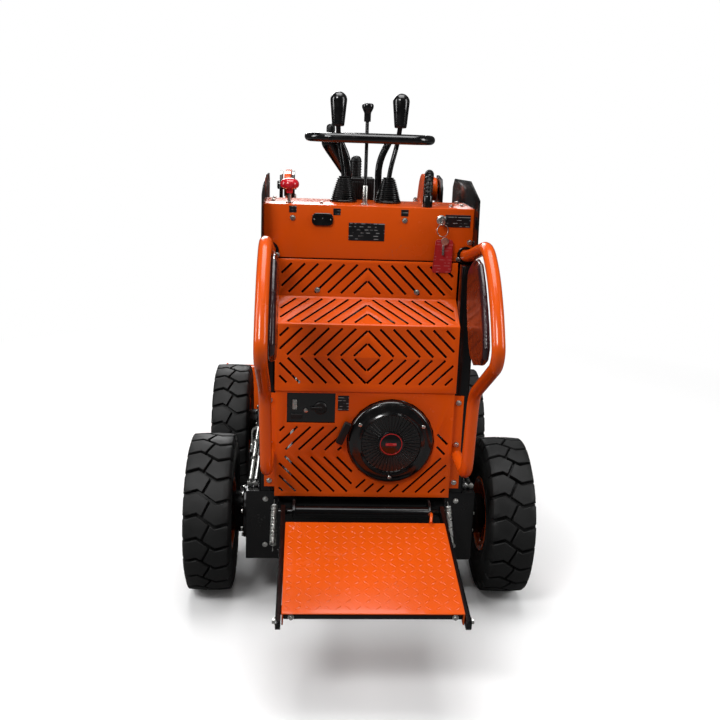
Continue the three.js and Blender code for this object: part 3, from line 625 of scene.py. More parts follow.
def moulded(name, dark, light, polish, patch, grain, bump, specular=0.4, coat=0.0):
    """A material of the moulded surface. The grain is its scale, detail and roughness."""
    finish, tree, shader = new_material(name, specular=specular, coat=coat)
    surface = add_group(tree, moulded_surface)
    for socket, value in zip(surface.inputs, ((*dark, 1), (*light, 1), *polish, *patch, *grain)):
        socket.default_value = value
    feed(tree, shader, Base_Color=surface.outputs["Colour"], Roughness=surface.outputs["Roughness"])
    add_bump(tree, surface.outputs["Height"], shader, *bump)
    return finish


def make_rubber(name, dark, light, low=0.52, high=0.72, grain_scale=260, depth=0.0008):
    return moulded(name, dark, light, (low, high), (14, 0.6, 0.35), (grain_scale, 3, 0.7), (0.25, depth))


tyre_rubber = make_rubber("tyre_rubber", (0.005, 0.0052, 0.0053), (0.0105, 0.0108, 0.0106))
tyre_model = make_tyre()
for corner, _ in WHEELS:
    low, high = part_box(f"tyre_{corner}")
    tyre = moved(copied(tyre_model), (low + high) / 2)
    settle(tyre, f"tread_tyre_{corner}", tyre_rubber, f"wheel_{corner}", "tyre_rubber", f"tyre_{corner}")
bpy.data.objects.remove(tyre_model)

# ---------------------------------------------------------------- rims and wheel bolts
# Pressed steel rims in the body's orange: rolled flanges, a stepped disc, five wheel bolts on the
# hub's studs and a black grease cap.
WHEEL_BOLTS = 5
STUD_CIRCLE = 0.048
DISC_FACE = 0.0165

rim_model = turned([
    (0.015, 0), (0.015, 0.03), (DISC_FACE, 0.034), (DISC_FACE, 0.062), (0.021, 0.07), (0.0265, 0.078),
    (0.028, 0.086), (0.03, 0.0905), (0.042, 0.0925), (0.056, 0.0955), (0.0585, 0.098), (0.06, 0.104),
    (0.0603, 0.11), (0.0596, 0.1128), (0.058, 0.1128), (0.0575, 0.108), (0.057, 0.103), (0.04, 0.102),
    (-0.057, 0.103), (-0.0575, 0.108), (-0.058, 0.1128), (-0.0596, 0.1128), (-0.0603, 0.11),
    (-0.06, 0.104), (-0.0585, 0.098), (-0.056, 0.0955), (-0.042, 0.0925), (0.008, 0.0905),
    (0.0095, 0.084), (0.009, 0.06), (0.009, 0)], 72, axis="X")
cap_model = turned([(0.015, 0.026), (0.03, 0.025), (0.036, 0.021), (0.038, 0.01), (0.038, 0)], 32, axis="X")
wheel_bolt = hex_bolt(0.0095, 0.009)
ring_model = ring_of(wheel_bolt, WHEEL_BOLTS, STUD_CIRCLE, DISC_FACE)
for corner, side in WHEELS:
    low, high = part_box(f"rim_{corner}")
    trio = [copied(model) for model in (rim_model, cap_model, ring_model)]
    for piece in trio:
        piece.rotation_euler = (0, 0, math.pi if side < 0 else 0)
        moved(piece, (low + high) / 2)
    body = f"wheel_{corner}"
    settle(trio[0], f"pressed_rim_{corner}", orange_coat, body, "orange_paint", f"rim_{corner}")
    settle(trio[1], f"hub_cap_{corner}", black_coat, body, "black_paint")
    bright([trio[2]], f"wheel_bolts_{corner}", body)
for model in (rim_model, cap_model, ring_model, wheel_bolt):
    bpy.data.objects.remove(model)

# ---------------------------------------------------------------- drive hubs
# Hydraulic wheel motors on the chassis sides: a stepped black housing with a ring of bolt heads
# round its flange.
MOTOR_BOLTS = 8
for corner, side in WHEELS:
    low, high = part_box(f"drive_hub_{corner}")
    centre, reach, radius = (low + high) / 2, high.x - low.x, (high.z - low.z) / 2
    inner_face = -reach / 2
    steps = ((0, 0), (0, 1), (0.012, 1), (0.014, 1 - 0.002 / radius), (0.016, 0.8), (0.052, 0.76),
             (0.056, 0.56), (0.08, 0.54), (0.083, 0.42), (reach, 0.42), (reach, 0))
    hub = turned([(inner_face + along, radius * share) for along, share in steps], 48, axis="X")
    head_ring = ring_of(small_bolt, MOTOR_BOLTS, radius * 0.9, inner_face + 0.014, 0.5)
    for piece in (hub, head_ring):
        piece.rotation_euler = (0, 0, math.pi if side < 0 else 0)
        moved(piece, centre)
    settle(hub, f"motor_{corner}", black_coat, "machine", "black_paint", f"drive_hub_{corner}")
    bright([head_ring], f"motor_bolts_{corner}")

# ---------------------------------------------------------------- grab bars
# Bent 32 mm tube in glossy orange: each loops back from a black collar at the console's corner,
# round the hip pad and down to the lower panel.
GRAB_RADIUS = 0.016
GRAB_X, GRAB_FOOT_X = 0.268, 0.262
GRAB_ROUTE = ((-0.0807, 1.034), (-0.112, 1.034), (-0.384, 1.099), (-0.48, 1.043), (-0.552, 0.963),
              (-0.596, 0.887), (-0.58, 0.85), (-0.339, 0.712), (-0.338, 0.486), (-0.1852, 0.486))


def rounded_route(points, bend, steps=8):
    """The centre line of a bent bar: each corner becomes a smooth bend."""
    points = [Vector(point) for point in points]
    route = [points[0]]
    for before, corner, after in zip(points, points[1:], points[2:]):
        back, on = before - corner, after - corner
        reach = min(bend, back.length * 0.48, on.length * 0.48)
        start, end = corner + back.normalized() * reach, corner + on.normalized() * reach
        for k in range(steps + 1):
            t = k / steps
            route.append(start * (1 - t) ** 2 + corner * (2 * t * (1 - t)) + end * t ** 2)
    return [*route, points[-1]]


def tube(route, radius, sides=5, cyclic=False):
    """A round bar along a route, as a mesh with closed ends."""
    line = bpy.data.curves.new("bar", "CURVE")
    line.dimensions = "3D"
    spline = line.splines.new("POLY")
    spline.points.add(len(route) - 1)
    for point, spot in zip(spline.points, route):
        point.co = (*spot, 1)
    spline.use_cyclic_u = cyclic
    line.bevel_depth = radius
    line.bevel_resolution = sides
    line.use_fill_caps = not cyclic
    piece = bpy.data.objects.new("bar", line)
    bpy.context.scene.collection.objects.link(piece)
    only(piece)
    bpy.ops.object.convert(target="MESH")
    piece = bpy.context.object
    edit_all(piece)
    bpy.ops.mesh.remove_doubles(threshold=1e-5)
    close_outward()
    bpy.ops.object.shade_smooth_by_angle(angle=math.radians(40))
    return piece


gloss_orange = coated_steel("gloss_orange_coat", (0.66, 0.079, 0.003), 0.08, 0.03, coat=0.24)
for side_name, side in SIDES:
    route = [place(side * (GRAB_FOOT_X if z < 0.5 else GRAB_X), y, z) for y, z in GRAB_ROUTE]
    bar = tube(rounded_route(route, 0.046), GRAB_RADIUS, 7)
    settle(bar, f"bent_grab_bar_{side_name}", gloss_orange, "machine", "orange_paint",
           f"grab_bar_{side_name}")
    collar = [(0, 0.0165), (0, 0.0235), (0.0035, 0.0235), (0.005, 0.021), (0.005, 0.0165), (0, 0.0165)]
    upper = stud(collar, 32, place(side * GRAB_X, CONSOLE_REAR, GRAB_ROUTE[0][1]))
    settle(upper, f"grab_collar_{side_name}", black_coat, "machine", "black_paint")

# ---------------------------------------------------------------- hip pads
# Padded panels inside the grab bars' loops that stop the operator's hips: foam under glossy black
# vinyl.
PAD_SWELL = 0.0045


def swell(piece, pressure, cap):
    """Blows the piece up as cloth and then limits how far any point has gone."""
    start = [vertex.co.copy() for vertex in piece.data.vertices]
    only(piece)
    cloth = piece.modifiers.new("stuffing", "CLOTH")
    cloth.settings.use_pressure = True
    cloth.settings.uniform_pressure_force = pressure
    cloth.settings.effector_weights.gravity = 0
    cloth.point_cache.frame_start, cloth.point_cache.frame_end = 1, 20
    for step in range(1, 21):
        bpy.context.scene.frame_set(step)
    apply_modifiers(piece)
    bpy.context.scene.frame_set(1)
    for vertex, home in zip(piece.data.vertices, start):
        step = vertex.co - home
        if step.length > cap:
            vertex.co = home + step * (cap / step.length)


def make_vinyl():
    """Glossy cover with a fine grain and soft creases, and a wine-dark tint in patches that is a painted
    reflection of the orange guard.
    """
    finish, tree, shader = new_material("vinyl", specular=0.4, coat=0.3)
    where = object_place(tree)
    # Painted reflection: the reddish patches stand for the orange guard mirrored in the glossy black cover.
    tint = remap(tree, noise(tree, where, 7, 3), 0.35, 0.7)
    colour = blend_colours(tree, tint, (0.01, 0.004, 0.006, 1), (0.03, 0.006, 0.009, 1))
    feed(tree, shader, Base_Color=colour, Roughness=remap(tree, tint, 0, 1, 0.2, 0.34))
    cells = add_node(tree, "TexVoronoi", Vector=where, Scale=700).outputs["Distance"]
    creases = combine(tree, "ADD", times(tree, cells, 0.3), noise(tree, where, 30, 3))
    add_bump(tree, creases, shader, 0.2, 0.0012)
    return finish


vinyl = make_vinyl()
for side_name, side in SIDES:
    pad = merged_copy(f"hip_pad_{side_name}")
    remesh = pad.modifiers.new("foam", "REMESH")
    remesh.mode = "VOXEL"
    remesh.voxel_size = 0.004
    apply_modifiers(pad)
    swell(pad, 4, PAD_SWELL)
    outer_face = 0.2517
    for vertex in pad.data.vertices:
        if side * vertex.co.x > outer_face:
            vertex.co.x = side * outer_face
    smooth = pad.modifiers.new("skin", "SMOOTH")
    smooth.factor, smooth.iterations = 0.5, 3
    apply_modifiers(pad)
    bpy.ops.object.shade_smooth()
    settle(pad, f"stuffed_hip_pad_{side_name}", vinyl, "machine", "vinyl", f"hip_pad_{side_name}")

# ---------------------------------------------------------------- travel levers
# The two drive levers on the console: a ribbed rubber boot on a flange, a bent black rod and a
# tapered glossy grip.
CONSOLE_TOP = 1.1598
BOOT_HEIGHT, BOOT_FOOT, BOOT_NECK = 0.07, 0.033, 0.015
RIBS = 11


def make_gloss_plastic(name, colour, roughness):
    worn = tuple(channel * 1.6 + 0.0012 for channel in colour)
    return moulded(name, colour, worn, (roughness, roughness + 0.18), (35, 0.65, 0.4), (900, 2, 0.55),
                   (0.08, 0.0003), specular=0.5, coat=0.3)


gloss_black = make_gloss_plastic("gloss_black_plastic", (0.0024, 0.0024, 0.0027), 0.14)
boot_rubber = make_rubber("boot_rubber", (0.003, 0.0031, 0.0032), (0.006, 0.006, 0.0063), 0.26, 0.55, 500,
                          0.0004)


def plastic(piece, name, finish, *replaced):
    return settle(piece, name, finish, "machine", "black_plastic", *replaced)


def grip_profile():
    dome = [(0.07 + 0.023 * math.sin(k * math.pi / 16),
             0.0235 * math.cos(k * math.pi / 16)) for k in range(8)]
    return [(0, 0), (0, 0.0155), (0.002, 0.017), (0.01, 0.018), (0.04, 0.0207), *dome, (0.0932, 0)]


def ribbed_boot():
    profile = [(0, 0), (0, 0.037), (0.002, 0.038), (0.0045, 0.038), (0.006, 0.0365), (0.0065, BOOT_FOOT)]
    for k in range(RIBS):
        low, high = k / RIBS, (k + 1) / RIBS
        bell = [BOOT_NECK + (BOOT_FOOT - BOOT_NECK) * (1 - t) ** 0.85 for t in (low, high)]
        foot, head = 0.0065 + low * 0.06, 0.0065 + high * 0.06
        profile += [(foot + 0.0012, bell[0] + 0.0026), (foot + 0.0034, bell[0] + 0.0022),
                    (head, bell[1] - 0.0012)]
    return turned([*profile, (0.0695, BOOT_NECK + 0.001), (BOOT_HEIGHT, BOOT_NECK - 0.003),
                   (BOOT_HEIGHT, 0)], 48)


grip_model = turned(grip_profile(), 40)
boot_model = ribbed_boot()
for side_name, x, lean in (("left", -0.0675, -0.0205), ("right", 0.0575, 0.0285)):
    foot = place(x, 0.042, CONSOLE_TOP)
    rod_route = [foot + Vector(step) for step in (
        (0, 0.006, 0.055), (lean * 0.2, 0.012, 0.095), (lean * 0.85, 0.03, 0.165), (lean, 0.014, 0.215))]
    grip = aimed(copied(grip_model), (0, 0.1045, 0.9945), foot + Vector((lean, 0.012, 0.206)))
    rod = tube(rounded_route(rod_route, 0.03), 0.0068, 5)
    boot = moved(copied(boot_model), foot)
    plastic(grip, f"travel_grip_{side_name}", gloss_black, f"travel_lever_{side_name}")
    plastic(rod, f"travel_rod_{side_name}", black_coat)
    plastic(boot, f"travel_boot_{side_name}", boot_rubber)
bpy.data.objects.remove(boot_model)
bpy.data.objects.remove(grip_model)

# ---------------------------------------------------------------- auxiliary and loader levers
# A thin lever with a small flared knob in a bright ferrule, and the loader's joystick behind the
# console, which leans to the left under a shaped grip with a rocker switch.
aux_foot = place(-0.0125, -0.045, CONSOLE_TOP)
aux_route = [aux_foot + Vector(step) for step in ((0, 0, 0.02), (0, 0.002, 0.03), (0.002, 0.046, 0.225))]
aux_rod = tube(rounded_route(aux_route, 0.02), 0.0048, 4)
aux_knob = moved(turned([
    (0, 0), (0, 0.0085), (0.002, 0.0092), (0.02, 0.0092), (0.024, 0.0098), (0.03, 0.0128), (0.036, 0.0155),
    (0.039, 0.016), (0.043, 0.016), (0.0462, 0.0148), (0.0482, 0.0115), (0.049, 0)], 32),
    aux_foot + Vector((0.002, 0.045, 0.22)))
ferrule = moved(turned([(0, 0), (0, 0.011), (0.003, 0.011), (0.004, 0.0075), (0.05, 0.0072),
                        (0.052, 0.0062), (0.052, 0)], 28), aux_foot)
plastic(aux_knob, "auxiliary_knob", gloss_black, "auxiliary_lever")
plastic(aux_rod, "auxiliary_rod", black_coat)
bright([ferrule], "auxiliary_ferrule")

TANK_TOP = 1.0906
joystick_foot = place(-0.034, 0.144, TANK_TOP)
stick_route = [joystick_foot + Vector(step) for step in ((0, 0, 0), (0, 0, 0.03), (-0.032, 0, 0.155))]
stick = tube(rounded_route(stick_route, 0.03), 0.0078, 5)
GRIP_LEAN = math.radians(27)
grip_direction = (-math.sin(GRIP_LEAN), 0, math.cos(GRIP_LEAN))
shaped_grip = aimed(turned([
    (0, 0), (0, 0.0095), (0.004, 0.011), (0.03, 0.0155), (0.06, 0.0205), (0.084, 0.025), (0.098, 0.0268),
    (0.108, 0.0262), (0.116, 0.0225), (0.121, 0.0165), (0.124, 0.008), (0.1245, 0)], 36),
    grip_direction, joystick_foot + Vector((-0.025, 0, 0.138)))
rocker = moved(turned([(0, 0), (0, 0.0125), (0.02, 0.0125), (0.025, 0.0118), (0.029, 0.0095),
                       (0.0315, 0.006), (0.032, 0)], 28), joystick_foot + Vector((-0.072, 0, 0.248)))
plastic(shaped_grip, "joystick_grip", gloss_black, "loader_lever")
plastic(stick, "joystick_rod", black_coat)
plastic(rocker, "joystick_rocker", boot_rubber)

# ---------------------------------------------------------------- hand loop
# A closed oblong rail of black tube round the levers, held up by two bent posts.
LOOP_HEIGHT = 0.176
LOOP_HALF = ((0, -0.056), (0.126, -0.052), (0.168, -0.016), (0.168, 0.044), (0.126, 0.08), (0, 0.084))
loop_foot = place(0, 0.014, CONSOLE_TOP)
half_loop = [loop_foot + Vector((x, y, LOOP_HEIGHT)) for x, y in LOOP_HALF]
other_half = [loop_foot + Vector((-x, y, LOOP_HEIGHT)) for x, y in reversed(LOOP_HALF)]
ring_route = rounded_route(half_loop, 0.04)[:-1] + rounded_route(other_half, 0.04)[:-1]
parts = [tube(ring_route, 0.0125, 6, cyclic=True)]
for foot, head in ((-0.054, -0.084), (0.032, 0.062)):
    route = [loop_foot + Vector(step) for step in ((foot, 0.078, 0.001), (foot, 0.079, 0.11),
                                                   (head, 0.084, 0.172))]
    parts.append(tube(rounded_route(route, 0.04), 0.0098, 5))
settle(joined(parts), "oblong_hand_loop", gloss_black, "machine", "black_paint", "hand_loop")

# ---------------------------------------------------------------- stop knob and console hose
# A red mushroom knob on a bright stem at the left, and at the right a hydraulic hose in a black
# spiral guard, which comes out of a sleeve at the console's edge and arches forward.
knob_foot = place(-0.218, -0.048, CONSOLE_TOP)
red_gloss = make_gloss_plastic("red_gloss_plastic", (0.42, 0.008, 0.016), 0.14)
mushroom = moved(turned([
    (0.026, 0), (0.026, 0.0085), (0.037, 0.0095), (0.039, 0.018), (0.042, 0.0235), (0.048, 0.0258),
    (0.055, 0.025), (0.061, 0.0205), (0.0645, 0.013), (0.066, 0.005), (0.066, 0)], 40), knob_foot)
stem = moved(turned([
    (0, 0), (0, 0.0105), (0.004, 0.0105), (0.0045, 0.0055), (0.026, 0.0055), (0.026, 0)], 28), knob_foot)
settle(mushroom, "stop_mushroom", red_gloss, "machine", "red_plastic", "stop_knob")
bright([stem], "stop_stem")

HOSE_RADIUS = 0.0098
HOSE_ROUTE = ((0.158, 0, 0), (0.158, 0, 0.03), (0.161, 0.014, 0.086), (0.172, 0.104, 0.084),
              (0.178, 0.148, 0.04), (0.178, 0.148, 0))
hose_foot = place(0, -0.062, CONSOLE_TOP)
hose_line = rounded_route([hose_foot + Vector(step) for step in HOSE_ROUTE], 0.03, 14)


def evenly_spaced(route, count):
    lengths = [0.0]
    for first, second in zip(route, route[1:]):
        lengths.append(lengths[-1] + (second - first).length)
    spots, k = [], 0
    for n in range(count + 1):
        target = lengths[-1] * n / count
        while k < len(route) - 2 and lengths[k + 1] < target:
            k += 1
        share = (target - lengths[k]) / max(lengths[k + 1] - lengths[k], 1e-9)
        spots.append(route[k].lerp(route[k + 1], min(max(share, 0), 1)))
    return spots


def spiral_on(route, turns, radius, per_turn=14):
    """A helix that winds round a route."""
    spots = evenly_spaced(route, turns * per_turn)
    side = Vector((1, 0, 0))
    helix = []
    for k, spot in enumerate(spots):
        along = (spots[min(k + 1, len(spots) - 1)] - spots[max(k - 1, 0)]).normalized()
        side = (side - along * side.dot(along)).normalized()
        angle = 2 * math.pi * k / per_turn
        helix.append(spot + radius * (math.cos(angle) * side + math.sin(angle) * along.cross(side)))
    return helix


hose_rubber = make_rubber("hose_rubber", (0.003, 0.003, 0.0033), (0.006, 0.006, 0.0064), 0.24, 0.5, 600,
                          0.0003)
hose = tube(hose_line, HOSE_RADIUS, 6)
guard_coil = tube(spiral_on(hose_line[4:-4], 22, HOSE_RADIUS + 0.0008), 0.0022, 2)
sleeve = moved(turned([
    (0, 0), (0, 0.0135), (0.002, 0.014), (0.03, 0.013), (0.032, 0.0118), (0.032, 0)], 32), hose_line[0])
settle(hose, "guarded_hose", hose_rubber, "machine", "hose_rubber", "console_hose")
settle(guard_coil, "hose_guard_coil", hose_rubber, "machine", "hose_rubber")
plastic(sleeve, "hose_sleeve", gloss_black)

# ---------------------------------------------------------------- console face
# What is fixed to the console's rear face: a blank rating plate, small blank labels, a six-sided
# socket, the key switch with its ring, keys and red tag, and a switch label.


def make_print():
    """Rows of short bars, as a printed plate has from afar, without any lettering."""
    group, _, end = new_group("printed_bars", (), (("Ink", "Float"), ("Roughness", "Float")))
    where = object_place(group)
    lines = add_node(group, "TexWave", Vector=where, Scale=38)
    lines.wave_type = "BANDS"
    lines.bands_direction = "Z"
    rows = remap(group, lines.outputs["Fac"], 0.86, 0.92)
    breaks = remap(group, noise(group, where, 75, 2), 0.5, 0.56, 0.0, 0.55)
    polish = remap(group, noise(group, where, 40), 0.3, 0.7, 0.25, 0.42)
    feed(group, end, Ink=times(group, rows, breaks), Roughness=polish)
    return group


printed_bars = make_print()


def make_label(name, ground, ink):
    """A plate in two colours that carries only bars."""
    finish, tree, shader = new_material(name, specular=0.4)
    surface = add_group(tree, printed_bars).outputs
    tone = blend_colours(tree, surface["Ink"], (*ground, 1), (*ink, 1))
    feed(tree, shader, Base_Color=tone, Roughness=surface["Roughness"])
    return finish


LABEL_SEAT = CONSOLE_REAR - 0.0002
TAG_LENGTH, TAG_MIDDLE = 0.091, 0.204
black_label = make_label("black_label", (0.006, 0.006, 0.007), (0.45, 0.45, 0.45))


def slab(length, width, thick, corner, segments):
    """A flat plate with round corners, lying on the ground about the origin."""
    bpy.ops.mesh.primitive_plane_add(size=1)
    plate = bpy.context.object
    plate.scale = (length, width, 1)
    edit_all(set_place(plate))
    bpy.ops.mesh.bevel(offset=corner, segments=segments, affect="VERTICES")
    bpy.ops.mesh.select_all(action="SELECT")
    extrude(0, 0, thick)
    close_outward()
    return plate


def panel_block(x0, x1, z0, z1, station, thick, corner=0.001, depth_corner=0.0004):
    """A thin plate on a rear-facing surface, with round corners and eased edges."""
    plate = slab(x1 - x0, z1 - z0, thick, corner, 4)
    plate.rotation_euler = (math.pi / 2, 0, 0)
    plate.location = place((x0 + x1) / 2, station, (z0 + z1) / 2)
    set_place(plate)
    return ease_edges(plate, depth_corner, 1)


plastic(panel_block(-0.056, 0.042, 1.066, 1.114, LABEL_SEAT, 0.001), "rating_plate", black_label)
labels = [panel_block(x - 0.01, x + 0.01, z - 0.009, z + 0.009, LABEL_SEAT, 0.0006)
          for x, z in ((-0.208, 1.146), (-0.089, 1.142), (0.095, 1.144))]
labels.append(panel_block(0.206, 0.276, 1.109, 1.143, LABEL_SEAT, 0.0008))
plastic(joined(labels), "console_labels", black_label)

socket = panel_block(-0.156, -0.099, 1.104, 1.138, LABEL_SEAT, 0.0065, 0.012, 0.0012)
only(socket)
bpy.ops.object.mode_set(mode="EDIT")
bpy.ops.mesh.select_all(action="DESELECT")
bpy.ops.object.mode_set(mode="OBJECT")
for polygon in socket.data.polygons:
    polygon.select = polygon.normal.y < -0.9 and polygon.area > 0.0005
bpy.ops.object.mode_set(mode="EDIT")
bpy.ops.mesh.inset(thickness=0.0055)
extrude(0, 0.0035, 0)
bpy.ops.object.mode_set(mode="OBJECT")
plastic(socket, "six_sided_socket", gloss_black)
socket_pins = [stud([(0, 0), (0, 0.0024), (0.0062, 0.0022), (0.0068, 0.0014), (0.0068, 0)], 16,
                    place(x, CONSOLE_REAR, 1.121)) for x in (-0.15, -0.105)]
socket_pins.append(stud([(0, 0), (0, 0.0016), (0.0052, 0.0016), (0.0052, 0)], 12,
                        place(-0.1275, CONSOLE_REAR, 1.124)))
bright(socket_pins, "socket_screws")

KEY_X, KEY_HEIGHT = 0.196, 1.128
switch = stud([
    (0, 0), (0, 0.0135), (0.003, 0.0135), (0.0042, 0.0115), (0.0075, 0.0112), (0.0085, 0.0098),
    (0.0085, 0.0075), (0.007, 0.007), (0.007, 0)], 32, place(KEY_X, CONSOLE_REAR, KEY_HEIGHT))
key_bow = panel_block(KEY_X - 0.0012, KEY_X + 0.0012, KEY_HEIGHT - 0.013, KEY_HEIGHT + 0.006,
                      CONSOLE_REAR - 0.0075, 0.02, 0.0008)
ring_centre = place(KEY_X + 0.002, CONSOLE_REAR - 0.021, KEY_HEIGHT - 0.026)
bpy.ops.mesh.primitive_torus_add(
    major_radius=0.0165, minor_radius=0.0011, major_segments=40, minor_segments=8, location=ring_centre,
    rotation=(math.radians(84), 0, math.radians(18)))
key_ring = bpy.context.object
spare_bow = aimed(turned([
    (0, 0), (0, 0.01), (0.0005, 0.0105), (0.0022, 0.0105), (0.0026, 0.01), (0.0026, 0)], 26),
    (0.15, -1, 0.1), place(KEY_X + 0.01, CONSOLE_REAR - 0.017, KEY_HEIGHT - 0.056))
spare_blade = panel_block(KEY_X + 0.004, KEY_X + 0.0095, KEY_HEIGHT - 0.094, KEY_HEIGHT - 0.062,
                          CONSOLE_REAR - 0.0165, 0.002, 0.001)
bright([switch, key_bow, key_ring, spare_bow, spare_blade], "switch_keys_and_ring")

red_tag = make_label("red_tag", (0.36, 0.01, 0.012), (0.55, 0.2, 0.2))
tag = panel_block(0.18, 0.228, KEY_HEIGHT - 0.143, KEY_HEIGHT - 0.052, CONSOLE_REAR - 0.0095, 0.0014, 0.006)
edit_all(tag)
bpy.ops.mesh.subdivide(number_cuts=3)
bpy.ops.object.mode_set(mode="OBJECT")
tag_low = min(vertex.co.z for vertex in tag.data.vertices)
for vertex in tag.data.vertices:
    rise = (vertex.co.z - tag_low) / TAG_LENGTH
    vertex.co.x += 0.004 * rise - 0.002 + 0.1 * (vertex.co.x - TAG_MIDDLE) * (1 - rise)
    vertex.co.y -= 0.003 * math.sin(rise * math.pi)
settle(tag, "red_key_tag", red_tag, "machine", "red_plastic")

# ---------------------------------------------------------------- recoil starter
# The engine's black pressed starter housing stands through the panel: a stepped drum, a grille of
# fins round a blank red-ringed badge, three screws, and the pull handle on its guide.
STARTER = place(0.0735, -0.142, 0.5255)
STARTER_RADIUS = 0.119
GRILLE_RADIUS = 0.082
FINS, FIN_CIRCLE, FIN_SEAT = 44, 0.0585, 0.0598
BADGE_SEAT = 0.0654
SCREW_CIRCLE, SCREW_SEAT = 0.1005, 0.0568


def outward(x, depth, z):
    """A place on the starter, from its axis and from its seat towards the rear."""
    return STARTER + Vector((x, -depth, z))


drum = stud([
    (0, 0), (0, STARTER_RADIUS), (0.044, STARTER_RADIUS), (0.05, STARTER_RADIUS - 0.0025),
    (0.054, STARTER_RADIUS - 0.007), (0.0565, STARTER_RADIUS - 0.014), (0.0575, 0.096), (0.0585, 0.09),
    (0.0625, 0.086), (0.064, GRILLE_RADIUS + 0.001), (0.06, GRILLE_RADIUS - 0.001), (0.06, 0.036),
    (0.0645, 0.035), (0.0655, 0.0335), (0.0655, 0)], 96, STARTER)
plastic(drum, "starter_drum", gloss_black, "recoil_starter")
fin_model = panel_block(-0.0009, 0.0009, -0.0215, 0.0215, 0, 0.004, 0.0003, 0.0003)
fin_model.location = (0, -REAR_AXLE, 0)
set_place(fin_model)
fins = []
for k in range(FINS):
    angle = 2 * math.pi * k / FINS
    fin = copied(fin_model)
    fin.rotation_euler = (0, angle, 0)
    fin.location = outward(FIN_CIRCLE * math.sin(angle), FIN_SEAT, FIN_CIRCLE * math.cos(angle))
    fins.append(set_place(fin))
bpy.data.objects.remove(fin_model)
plastic(joined(fins), "starter_fins", boot_rubber)
badge_ring = stud([(0, 0.0285), (0, 0.031), (0.0008, 0.0308), (0.0008, 0.0287), (0, 0.0285)], 48,
                  outward(0, BADGE_SEAT, 0))
badge_bar = panel_block(-0.015, 0.015, -0.005, 0.003, 0, 0.0008, 0.0012)
badge_bar.location = outward(0, BADGE_SEAT, 0) - place(0, 0, 0)
set_place(badge_bar)
settle(joined([badge_ring, badge_bar]), "starter_badge", red_tag, "machine", "red_plastic")
screws = []
for degrees in (149, 29, -90):
    angle = math.radians(degrees)
    spot = outward(SCREW_CIRCLE * math.cos(angle), SCREW_SEAT, SCREW_CIRCLE * math.sin(angle))
    screws.append(stud([(0, 0), (0, 0.0055), (0.0025, 0.0052), (0.0038, 0.0035), (0.0042, 0)], 20, spot))
bright(screws, "starter_screws")
ease_node("recoil_handle", "pull_handle", 0.0045, boot_rubber, "machine", "black_plastic", 3)

# ---------------------------------------------------------------- behind the carburettor window
# What shows through the panel's window: a black air guide with the choke lever, a bright throttle
# screw, the fuel tap and a blank plate, and a small blank label beside the window.
window_back = panel_block(-0.224, -0.078, 0.566, 0.664, -0.1745, 0.002, 0.004)
plastic(window_back, "window_shroud", gloss_black)
carburettor = [
    stud([(0, 0), (0, 0.017), (0.004, 0.0175), (0.006, 0.015), (0.006, 0)], 32,
         place(-0.122, -0.1765, 0.617)),
    panel_block(-0.15, -0.118, 0.612, 0.621, -0.1805, 0.003, 0.003, 0.001),
    panel_block(-0.203, -0.172, 0.586, 0.6, -0.1765, 0.005, 0.002, 0.001)]
plastic(joined(carburettor), "choke_and_tap", boot_rubber)
bright_bits = [
    stud([(0, 0), (0, 0.0058), (0.004, 0.0055), (0.005, 0.003), (0.005, 0)], 20,
         place(-0.162, -0.1765, 0.61)),
    panel_block(-0.199, -0.187, 0.612, 0.64, -0.1765, 0.001, 0.001)]
bright(bright_bits, "window_screw_and_plate")
window_label = panel_block(-0.075, -0.045, 0.612, 0.655, PANEL_STATION - 0.0002, 0.0006)
plastic(window_label, "panel_label", black_label)

# ---------------------------------------------------------------- return springs
# Zinc extension springs that hold the step up or down, from a lug on the chassis to a pin on the
# step's arm. Each ends in a hook.
SPRING_TOP, SPRING_END = (-0.18, 0.343), (-0.284, 0.244)
SPRING_X = 0.245
COIL_RADIUS, WIRE, TURNS, HOOK = 0.0086, 0.0014, 30, 0.015


def spring_route(top, end):
    along = (end - top).normalized()
    reach = (end - top).length
    side = Vector((1, 0, 0))
    over = along.cross(side)
    coil_start, coil_length = HOOK, reach - 2 * HOOK
    steps = 12
    route = [top + over * 0.004, top - along * 0.003, top - over * 0.004 + along * 0.002,
             top + along * 0.009]
    for k in range(TURNS * steps + 1):
        angle = 2 * math.pi * k / steps
        ring = COIL_RADIUS * (math.cos(angle) * side + math.sin(angle) * over)
        route.append(top + along * (coil_start + coil_length * k / (TURNS * steps)) + ring)
    route += [end - along * 0.009, end + over * 0.004 - along * 0.002, end + along * 0.003,
              end - over * 0.004]
    return route


for side_name, side in SIDES:
    top, end = place(side * SPRING_X, *SPRING_TOP), place(side * SPRING_X, *SPRING_END)
    spring = tube(spring_route(top, end), WIRE, 2)
    settle(spring, f"coil_spring_{side_name}", zinc, f"return_spring_{side_name}", "bright_steel",
           f"spring_{side_name}")
    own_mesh(spring)

# ---------------------------------------------------------------- step
# The operator's folding step: an orange pan of chequer plate with raised lozenges, on black side
# arms with bright bolts, and the small orange latch lever at its front right corner.
DECK_HALF, DECK_SHIFT = 0.214, 0.003
DECK_FRONT, DECK_REAR = (-0.316, 0.342), (-0.68, 0.28)
MARK_PITCH = 0.0235
MARK_HALF_LENGTH, MARK_HALF_WIDTH = 0.0098, 0.0024
MARK_TURN = 45
ease_node("step_plate", "step_pan", 0.0016, gloss_orange, "platform", "orange_paint", 3)
ease_node("platform_frame", "step_arms", 0.0016, black_coat, "platform", "black_paint")
ease_node("step_crossbar", "step_rear_bar", 0.002, black_coat, "platform", "black_paint")


